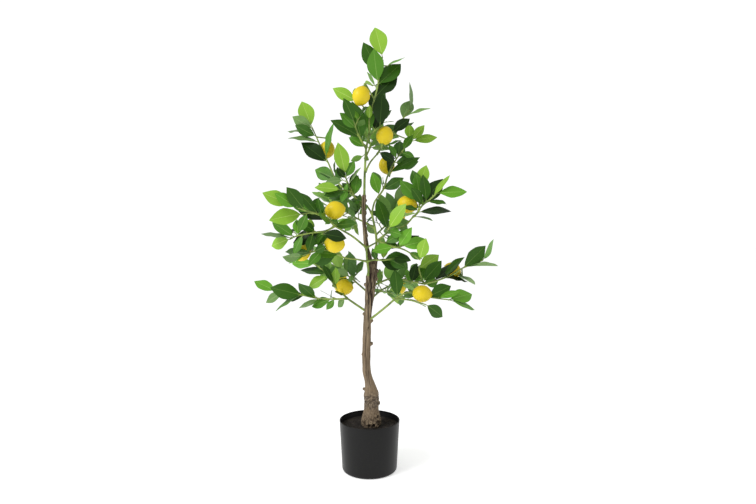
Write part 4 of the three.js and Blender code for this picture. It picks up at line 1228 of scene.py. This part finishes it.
def fill_crumbs():
    """Loose crumbs on the fill, clear of the trunk's foot."""
    sides = CRUMBS.sides
    angles = np.arange(sides) * 2 * math.pi / sides
    height = np.full(sides, FILL_TOP - CRUMBS.sunk)
    inner = TRUNK_STATIONS[0][2] - CRUMBS.under_trunk
    outer = fill_wall(FILL_TOP) - CRUMBS.from_wall
    rings = [
        np.column_stack([np.cos(angles) * radius, np.sin(angles) * radius, height])
        for radius in (inner, outer)
    ]
    faces = [[s, (s + 1) % sides, sides + (s + 1) % sides, sides + s] for s in range(sides)]
    carrier = mesh_piece("crumb_ground", np.vstack(rings), faces, [])
    return scattered_crumbs(bpy.data.materials["dark_pot_fill"]).piece("fill_crumbs", carrier, {
        "Crumbs per square metre": CRUMBS.per_square_metre, "Crumb radius": CRUMBS.radius * MM,
        "Seed": CRUMBS.seed,
    })


def tapering_stems(material):
    """Tree that turns lines into tapering stems. Each point's thick value is its radius."""
    tree = Growth("tapering_stems", {"Lines": "Geometry", "Sides": "Int"})
    given = tree.given.outputs
    thick = tree.node("GeometryNodeInputNamedAttribute", {"data_type": "FLOAT"}, {"Name": "thick"})
    lines = tree.node("GeometryNodeMeshToCurve", {}, {"Mesh": given["Lines"]})
    section = tree.node("GeometryNodeCurvePrimitiveCircle", {}, {"Resolution": given["Sides"], "Radius": 1})
    skin = tree.node("GeometryNodeCurveToMesh", {}, {
        "Curve": lines.outputs["Curve"], "Profile Curve": section.outputs["Curve"],
        "Scale": thick.outputs["Attribute"], "Fill Caps": True,
    })
    smooth = tree.node("GeometryNodeSetShadeSmooth", {}, {"Geometry": skin.outputs["Mesh"]})
    tree.end(smooth.outputs[0], material)
    return tree


def stem_piece(name, stems, material):
    """Piece of tapering stems, each given as a line and its radii, in millimetres."""
    points, thick, edges = [], [], []
    for line, radii in stems:
        start = len(points)
        points.extend((np.asarray(line) * MM).tolist())
        thick.extend((np.asarray(radii) * MM).tolist())
        edges.extend([(i, i + 1) for i in range(start, len(points) - 1)])
    mesh = bpy.data.meshes.new(name + "_lines")
    mesh.from_pydata(points, edges, [])
    mesh.attributes.new("thick", "FLOAT", "POINT").data.foreach_set("value", thick)
    return tapering_stems(material).piece(name, added(name + "_lines", mesh), {"Sides": STEM_SIDES[name]})


def station(stations, height):
    """Lean and radius of a column of wood at a height."""
    heights, leans, radii = zip(*stations)
    return float(np.interp(height, heights, leans)), float(np.interp(height, heights, radii))


def on_wood(stations, height, compass):
    """Middle of the wood at a height, its radius there, and the way out at a compass angle."""
    lean, radius = station(stations, height)
    angle = math.radians(compass)
    return np.array([lean, 0, height]), radius, np.array([math.cos(angle), math.sin(angle), 0])


def add_column(heap, stations, core_share):
    """One column of wood through its stations."""
    rows = curve([[lean, 0, height, radius] for height, lean, radius in stations], BARK.steps)
    radii = [row[3] * core_share(row[2]) for row in rows]
    heap.add(*tube(rows[:, :3], radii, BARK.sides))


def add_knob(heap, stations, row):
    """Stub that a cut side shoot left, with a collar and a rough end."""
    height, compass, reach, radius = row
    middle, wood_radius, out = on_wood(stations, height, compass)
    way = unit(out + UP * KNOB.rise)
    foot = middle - UP * KNOB.rise * wood_radius
    line = [foot + way * (wood_radius + reach) * share for share in KNOB.shares]
    heap.add(*tube(line, [radius * share for share in KNOB.radii], KNOB.sides))


def add_lump(heap, stations, row):
    """Rounded lump sunk into the wood."""
    height, compass, reach, radius = row
    middle, wood_radius, out = on_wood(stations, height, compass)
    turns = np.radians(np.linspace(-90, 90, LUMP.rings))
    points, faces = lathe([[radius * math.cos(t), radius * math.sin(t)] for t in turns], LUMP.sides)
    heap.add(points + (middle + out * (wood_radius + reach - radius)), faces)


def trunk_core(height):
    """Share of the trunk's radii that its core has at a height."""
    return 1 - (1 - CORE.share) * ramp(height, CORE.start, CORE.over)


def wood_skin():
    """Trunk, leader and stub as one closed skin, smooth as yet."""
    heap = Heap()
    add_column(heap, TRUNK_STATIONS, trunk_core)
    for stations, knobs in ((LEADER_STATIONS, LEADER_KNOBS), (STUB_STATIONS, STUB_KNOBS)):
        height, lean, radius = stations[0]
        foot = [height - BARK.fork_overlap, lean, radius]
        add_column(heap, [foot, *stations[1:]], lambda height: 1)
        for row in knobs:
            add_knob(heap, stations, row)
    for row in TRUNK_KNOBS:
        add_knob(heap, TRUNK_STATIONS, row)
    for row in TRUNK_LUMPS:
        add_lump(heap, TRUNK_STATIONS, row)
    for strand in STRANDS:
        rows = curve(strand, BARK.steps)
        heap.add(*tube(rows[:, :3], rows[:, 3], BARK.sides))
    skin = heap.piece("bark_skin", [])
    remesh = skin.modifiers.new("fuse", "REMESH")
    remesh.mode = "VOXEL"
    remesh.voxel_size = BARK.voxel * MM
    soften = skin.modifiers.new("soften", "SMOOTH")
    soften.factor = 0.5
    soften.iterations = BARK.smoothing
    return settled(skin)


def lengthwise(across, height, pattern):
    """Noise drawn out along the wood."""
    return noise.noise(across / pattern.pitch + Vector((*pattern.start, height / pattern.length)))


def ridge(value, power):
    """1 at the noise's zero line, falling off on both sides."""
    return max(0.0, 1 - abs(value) * BARK.ridge_slope) ** power


def bark_relief(point, normal, hollows):
    """How far a point of the skin moves out, and how much painted shade it gets for lying deep in furrows,
    grain, hollows and crust troughs, from 0 to 1.
    """
    x, y, z = point
    stations = TRUNK_STATIONS if z < BARK.fork else LEADER_STATIONS
    across = Vector((x - station(stations, z)[0], y, 0))
    upper = ramp(z, BARK.furrows_from, BARK.furrows_over)
    swell = noise.noise(Vector((x, y, z * BARK.lump_squash)) / BARK.lump_pitch)
    crust = noise.noise(Vector((x, y, z * BARK.crust_squash)) / BARK.crust_pitch)
    knots = noise.noise(Vector((x, y, z)) / BARK.knot_pitch)
    on_bulge = max(0, 1 - abs(z - BARK.bulge) / BARK.bulge_half)
    crusty = min(on_bulge + max(0, 1 - (z - FILL_TOP) / BARK.foot_over), 1)
    furrow = ridge(lengthwise(across, z, FURROW), FURROW.power)
    furrow *= (BARK.least_furrow + (1 - BARK.least_furrow) * upper) * (1 - FURROW.loss * crusty)
    grain = ridge(lengthwise(across, z, GRAIN), GRAIN.power) * (1 - GRAIN.loss * crusty)
    shift = swell * BARK.lump_depth - furrow * FURROW.depth - grain * GRAIN.depth
    shift += (crust * BARK.crust_depth + knots * BARK.knot_depth) * crusty
    sunk = 0.0
    for centre, depth, width in hollows:
        away = np.linalg.norm(point - centre)
        if away < 3 * width:
            cut = math.exp(-((away / width) ** 2))
            shift -= depth * cut
            sunk = max(sunk, cut)
    for line, depth, width in FRONT_GROOVES:
        leans, heights = zip(*line)
        if normal[1] < 0 and heights[0] < z < heights[-1]:
            ends = min(1, (heights[-1] - z) / BARK.groove_end, (z - heights[0]) / BARK.groove_end)
            aside = x - np.interp(z, heights, leans) + BARK.groove_stray * swell
            cut = ends * math.exp(-((aside / width) ** 2))
            shift -= depth * cut
            sunk = max(sunk, cut * min(1, depth / 2))
    # Painted shade, deepest where the relief sinks most
    painted_hollow_shade = DARKNESS.furrow * furrow + DARKNESS.grain * grain + DARKNESS.sunk * sunk
    painted_hollow_shade += max(0, -crust - DARKNESS.knots * knots) * crusty * DARKNESS.crust
    return shift, min(painted_hollow_shade, 1)


def bark():
    """The skin with its relief: lengthwise furrows and grain, lumps, hollows and a crusty bulge."""
    mesh = wood_skin()
    mesh.name = "bark"
    count = len(mesh.vertices)
    points, normals = np.zeros(count * 3), np.zeros(count * 3)
    mesh.vertices.foreach_get("co", points)
    mesh.vertices.foreach_get("normal", normals)
    points = points.reshape(-1, 3) / MM
    normals = normals.reshape(-1, 3)
    hollows = []
    for height, compass, depth, width in HOLLOWS:
        middle, radius, out = on_wood(TRUNK_STATIONS, height, compass)
        hollows.append((middle + out * radius, depth, width))
    lowest = FILL_TOP + GAP
    # Painted shade for each point of the skin
    painted_hollow_shades = np.zeros(count)
    for i in range(count):
        if points[i][2] < FILL_TOP + 2 * GAP:
            points[i][2] = lowest
            continue
        shift, painted_hollow_shades[i] = bark_relief(points[i], normals[i], hollows)
        points[i] += normals[i] * shift
        points[i][2] = max(points[i][2], lowest)
    mesh.vertices.foreach_set("co", (points * MM).ravel())
    mesh.attributes.new("painted_hollow_shade", "FLOAT", "POINT").data.foreach_set("value", painted_hollow_shades)
    mesh.polygons.foreach_set("use_smooth", [True] * len(mesh.polygons))
    mesh.materials.clear()
    mesh.materials.append(moulded_bark())
    mesh.update()
    return added("bark", mesh)


def stem_along(path, steps, kind, radii=None):
    """Fine line through a path, and its radii: a taper with a collar at its start."""
    line = curve(path, steps)
    usual, extra, length = STEM_FORMS[kind]
    first, last = radii or usual
    run = np.concatenate([[0], np.cumsum(np.linalg.norm(np.diff(line, axis=0), axis=1))])
    thick = first + (last - first) * (run / run[-1])
    return line, thick + extra * np.clip((length - run) / (COLLAR_SLOPE * length), 0, 1)


def green_stems(material):
    """The moulded stems that are plugged into the trunk and the leader."""
    stems = [stem_along(path, FINE_STEPS, "limb", radii) for path, radii in GREEN_LIMBS.values()]
    return stem_piece("green_stems", stems, material)


def petiole(leaf):
    """Leaf stalk, from inside its twig to under the blade."""
    shares = np.linspace(PETIOLE.start, LEAF.petiole + PETIOLE.past, len(PETIOLE.radii))
    line = np.array([spine_at(leaf, share) - leaf["up"] * PETIOLE.under for share in shares])
    thick = PETIOLE.small if leaf.get("small") else 1
    return line, [radius * thick for radius in PETIOLE.radii]


def bud(leaf):
    """Small bud between a leaf and its twig."""
    way = unit(leaf["along"] + leaf["up"] * BUD.lift)
    return np.array([leaf["base"] + way * reach for reach in BUD.reaches]), BUD.radii


def twigs(grown, material):
    """Stems, twigs and fine shoots of the masses, with every leaf's stalk and every lemon's."""
    stems = []
    for own in grown.values():
        for number, stem in enumerate(own["stems"]):
            stems.append(stem_along(stem["path"], FINE_STEPS, "twig" if number else "stem"))
        for leaf in own["leaves"]:
            stems.append(petiole(leaf))
            if leaf["share"] < 1:
                stems.append(bud(leaf))
        for shoot in own["shoots"]:
            stems.append(stem_along(shoot["path"], SHOOT_STEPS, "shoot"))
            stems.extend(petiole(leaf) for leaf in shoot["leaves"])
        for item in own["fruit"]:
            stems.append(stem_along(item["stalk"], FINE_STEPS, "stalk"))
    return stem_piece("twigs", stems, material)


def blade_width(t):
    """Share of the full half width at a share of the blade's length."""
    blend = ramp(t, BLADE.tip_from, 1 - BLADE.tip_from)
    power = BLADE.base_power + (BLADE.tip_power - BLADE.base_power) * blend
    return math.sin(math.pi * t) ** power


def blade_form(leaf, roll):
    """Form of one leaf by the dice: its half width, its points, and the height of its upper side."""
    swing = swinging(roll)
    length, along, up = leaf["length"], leaf["along"], leaf["up"]
    across = np.cross(up, along)
    narrowest, wider = BLADE.fullness
    fewest, more = BLADE.waves
    half = length * LEAF.width / 2 * (narrowest + wider * roll())
    fold = BLADE.fold + BLADE.fold_swing * swing()
    curl = BLADE.curl * (BLADE.least_curl + roll())
    wave = BLADE.wave * length * (BLADE.least_wave + roll())
    phase = roll()
    waves = fewest + more * roll()
    twist = math.radians(BLADE.twist * swing())
    bend = BLADE.side_bend * length * swing()
    droop = BLADE.droop * length * (roll() - BLADE.lift)

    def at(t, x, lift):
        """Point at a share of the blade's length, beside the spine and over it."""
        share = BLADE.start + (1 - BLADE.start) * t
        turn = twist * t
        side = across * math.cos(turn) + up * math.sin(turn)
        rise = up * math.cos(turn) - across * math.sin(turn)
        centre = spine_at(leaf, share) + across * bend * share * share - up * droop * share ** 3
        return centre + side * x + rise * lift

    def relief(t, u, width):
        """Height of the upper side over the spine, at a share of the half width there."""
        lift = width * (fold * abs(u) - curl * u * u)
        sway = math.sin(2 * math.pi * (waves * t + phase + (BLADE.offset if u > 0 else 0)))
        return lift + wave * sway * u * u * (width / half)

    return half, at, relief


def blade_faces(rows, wide):
    """Faces of a blade so many columns wide, each with its side: 0 upper, 1 midrib, 2 under."""
    ring = 2 * wide - 2

    def top(row, column):
        return 2 + (row - 1) * ring + column

    def bottom(row, column):
        if column in (0, wide - 1):
            return top(row, column)
        return top(row, column) + wide - 1

    faces, sides = [], []
    for row in range(rows):
        for column in range(wide - 1):
            for corner, side in ((top, int(column == wide // 2 - 1)), (bottom, 2)):
                if row == 0:
                    face = [0, corner(1, column), corner(1, column + 1)]
                elif row == rows - 1:
                    face = [corner(row, column), 1, corner(row, column + 1)]
                else:
                    face = [
                        corner(row, column), corner(row + 1, column),
                        corner(row + 1, column + 1), corner(row, column + 1),
                    ]
                faces.append(face if corner is top else [face[0], *face[:0:-1]])
                sides.append(side)
    return faces, sides


def add_leaf(heap, leaf, tone, roll):
    """One leaf: a thin closed blade with a fold, a curl, wavy edges and a midrib."""
    half, at, relief = blade_form(leaf, roll)
    rows, outer = BLADE.small_grid if leaf.get("small") else BLADE.grid
    points = [at(0, 0, 0), at(1, 0, 0)]
    for row in range(1, rows):
        t = row / rows
        width = half * blade_width(t)
        rib = BLADE.rib * (BLADE.rib_taper - t) + BLADE.rib_least
        rib = min(rib, width * BLADE.rib_most) / width
        shares = [*outer, -rib, rib, *[-u for u in reversed(outer)]]
        upper, lower = [], []
        for u in shares:
            height = relief(t, u, width)
            ridge_height, keel = (BLADE.ridge, BLADE.keel) if abs(u) == rib else (0, 0)
            upper.append(at(t, u * width, height + ridge_height))
            if abs(u) < 1:
                thick = BLADE.thick * (1 - abs(u)) + BLADE.edge + keel
                lower.append(at(t, u * width, height - thick))
        points.extend(upper + lower)
    faces, sides = blade_faces(rows, len(shares))
    heap.add(points, faces, [tone * 3 + side for side in sides])


def leaf_pieces(grown):
    """One piece of leaves for each region of the crown, with the masses that it holds."""
    finishes = [
        plain(f"leaf_{name}_{side}", rgb, roughness)
        for name, colours in TONE_COLOURS.items()
        for (side, roughness), rgb in zip(LEAF_ROUGHNESS.items(), colours)
    ]

    def dealt(number, mass):
        """Tone for a leaf of a mass."""
        return DEALT_TONES[(number + mass["seed"]) % len(DEALT_TONES)]

    pieces = []
    for region, names in REGIONS.items():
        heap = Heap()
        for own in [grown[name] for name in names]:
            mass = own["mass"]
            roll = dice(mass["seed"] + FORM_SEED)
            for number, leaf in enumerate(own["leaves"]):
                tone = dealt(number * 4, mass) if leaf["tone"] is None else leaf["tone"]
                add_leaf(heap, leaf, tone, roll)
            for number, shoot in enumerate(own["shoots"]):
                for place, leaf in enumerate(shoot["leaves"]):
                    add_leaf(heap, leaf, dealt(number * 3 + place * 4, mass), roll)
        pieces.append((heap.piece(region, finishes, BLADE.sharp), names))
    return pieces


def fruit_radius(share):
    """Radius of a lemon at a share of its length from the stem end, as a share of its full radius."""
    end = FRUIT.body_end
    body = math.sin(math.pi * share / end) ** FRUIT.fullness if share < end else 0
    off = (share - FRUIT.nipple_middle) / FRUIT.nipple_half
    nipple = FRUIT.nipple * math.sqrt(max(0, 1 - off ** 2))
    return (body ** FRUIT.blend + nipple ** FRUIT.blend) ** (1 / FRUIT.blend)


def add_turned(heap, points, faces, item, finish):
    """A shape round the vertical axis, set on a lemon's stem end and turned its way."""
    turn = Vector((0, 0, 1)).rotation_difference(Vector(item["along"])).to_matrix()
    heap.add(points @ np.array(turn).T + item["end"], faces, finish)


def add_lemon(heap, item):
    """One lemon with a blunt nipple and faint pits."""
    steps = (1 - np.cos(np.linspace(0, math.pi, FRUIT.rings + 1))) / 2
    profile = [[fruit_radius(s) * LEMON.radius, s * LEMON.length] for s in steps]
    points, faces = lathe(profile, FRUIT.sides)
    for point in points:
        spot = Vector(point) / FRUIT.pit_pitch + Vector(item["centre"])
        near = noise.voronoi(spot)[0][0]
        out = Vector((point[0], point[1], (point[2] - LEMON.length / 2) * FRUIT.pit_squash))
        if out.length > FRUIT.smooth_middle:
            point[:] = Vector(point) - out.normalized() * FRUIT.pits * max(0, 1 - near * FRUIT.pit_slope)
    add_turned(heap, points, faces, item, 0)


def add_calyx(heap, item):
    """Green star that holds the lemon at its stem end."""
    points, faces = lathe(CALYX.profile, CALYX.sides)
    for point in points:
        if math.hypot(point[0], point[1]) > CALYX.lobes_from:
            turn = math.atan2(point[1], point[0])
            point[:2] *= 1 + CALYX.lobe_depth * math.cos(CALYX.lobes * turn)
    add_turned(heap, points, faces, item, 1)


def lemons(grown):
    """Every lemon with its calyx."""
    heap = Heap()
    for own in grown.values():
        for item in own["fruit"]:
            add_lemon(heap, item)
            add_calyx(heap, item)
    finishes = [plain("lemon_skin", (216, 192, 30), 0.42, 0.12), plain("lemon_calyx", (110, 140, 60), 0.55)]
    return heap.piece("lemons", finishes)


def add_camera():
    """Camera at the reference view."""
    camera = bpy.data.cameras.new("camera")
    camera.lens = LENS
    camera.sensor_width = SENSOR
    holder = added("camera", camera)
    holder.location = CAMERA_PLACE
    holder.rotation_euler = (math.radians(90 - CAMERA_DIP), 0, 0)
    bpy.context.scene.camera = holder


def add_floor():
    """Wide white studio floor that glows a little."""
    finish = Finish("white_floor", {
        "Base Color": (0.94, 0.94, 0.94, 1), "Roughness": 0.9,
        "Emission Color": (1, 1, 1, 1), "Emission Strength": FLOOR.glow,
    })
    corners = np.array([[-1, -1, 0], [1, -1, 0], [1, 1, 0], [-1, 1, 0]], float) * FLOOR.reach
    floor = mesh_piece("floor", corners, [[0, 1, 2, 3]], [finish.material])


def add_lamp(name, place, aim, size, power):
    """Round soft lamp at a place, turned to its aim."""
    light = bpy.data.lights.new(name, "AREA")
    light.shape = "DISK"
    light.size = size
    light.energy = power
    holder = added(name, light)
    holder.location = place
    holder.rotation_euler = (Vector(aim) - Vector(place)).to_track_quat("-Z", "Y").to_euler()


def add_light():
    """White studio: even light from all round, and a large soft lamp at the front left."""
    world = bpy.data.worlds.new("studio")
    world.use_nodes = True
    bpy.context.scene.world = world
    surround = Graph(world.node_tree)
    backdrop = world.node_tree.nodes["Background"]
    seen = surround.node("ShaderNodeLightPath", {}, {})
    strength = Number(surround, seen.outputs["Is Camera Ray"]) * SURROUND.more_where_seen + SURROUND.light
    surround.give(backdrop.inputs["Color"], (1, 1, 1, 1))
    surround.give(backdrop.inputs["Strength"], strength)
    for name, settings in LAMPS.items():
        add_lamp(name, *settings)


bpy.context.scene.view_settings.view_transform = "Standard"
add_camera()
add_floor()
add_light()

grown_masses, grown_limbs = grow()
add_finer(grown_masses, grown_limbs)
green = stem_plastic()
pieces = [
    (pot_shell(), "pot", ["pot"]),
    (pot_fill(), "fill", ["fill"]),
    (fill_crumbs(), "fill", ["fill"]),
    (bark(), "bark", ["trunk", "leader", "right_stub"]),
    (green_stems(green), "stem", list(GREEN_LIMBS)),
    (twigs(grown_masses, green), "stem", list(MASSES)),
    (lemons(grown_masses), "foliage", [name for name in MASSES if MASSES[name].get("lemons")]),
]
pieces += [(piece, "foliage", names) for piece, names in leaf_pieces(grown_masses)]
for piece, slot, nodes in pieces:
    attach(piece, "root")
    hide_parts(*nodes)
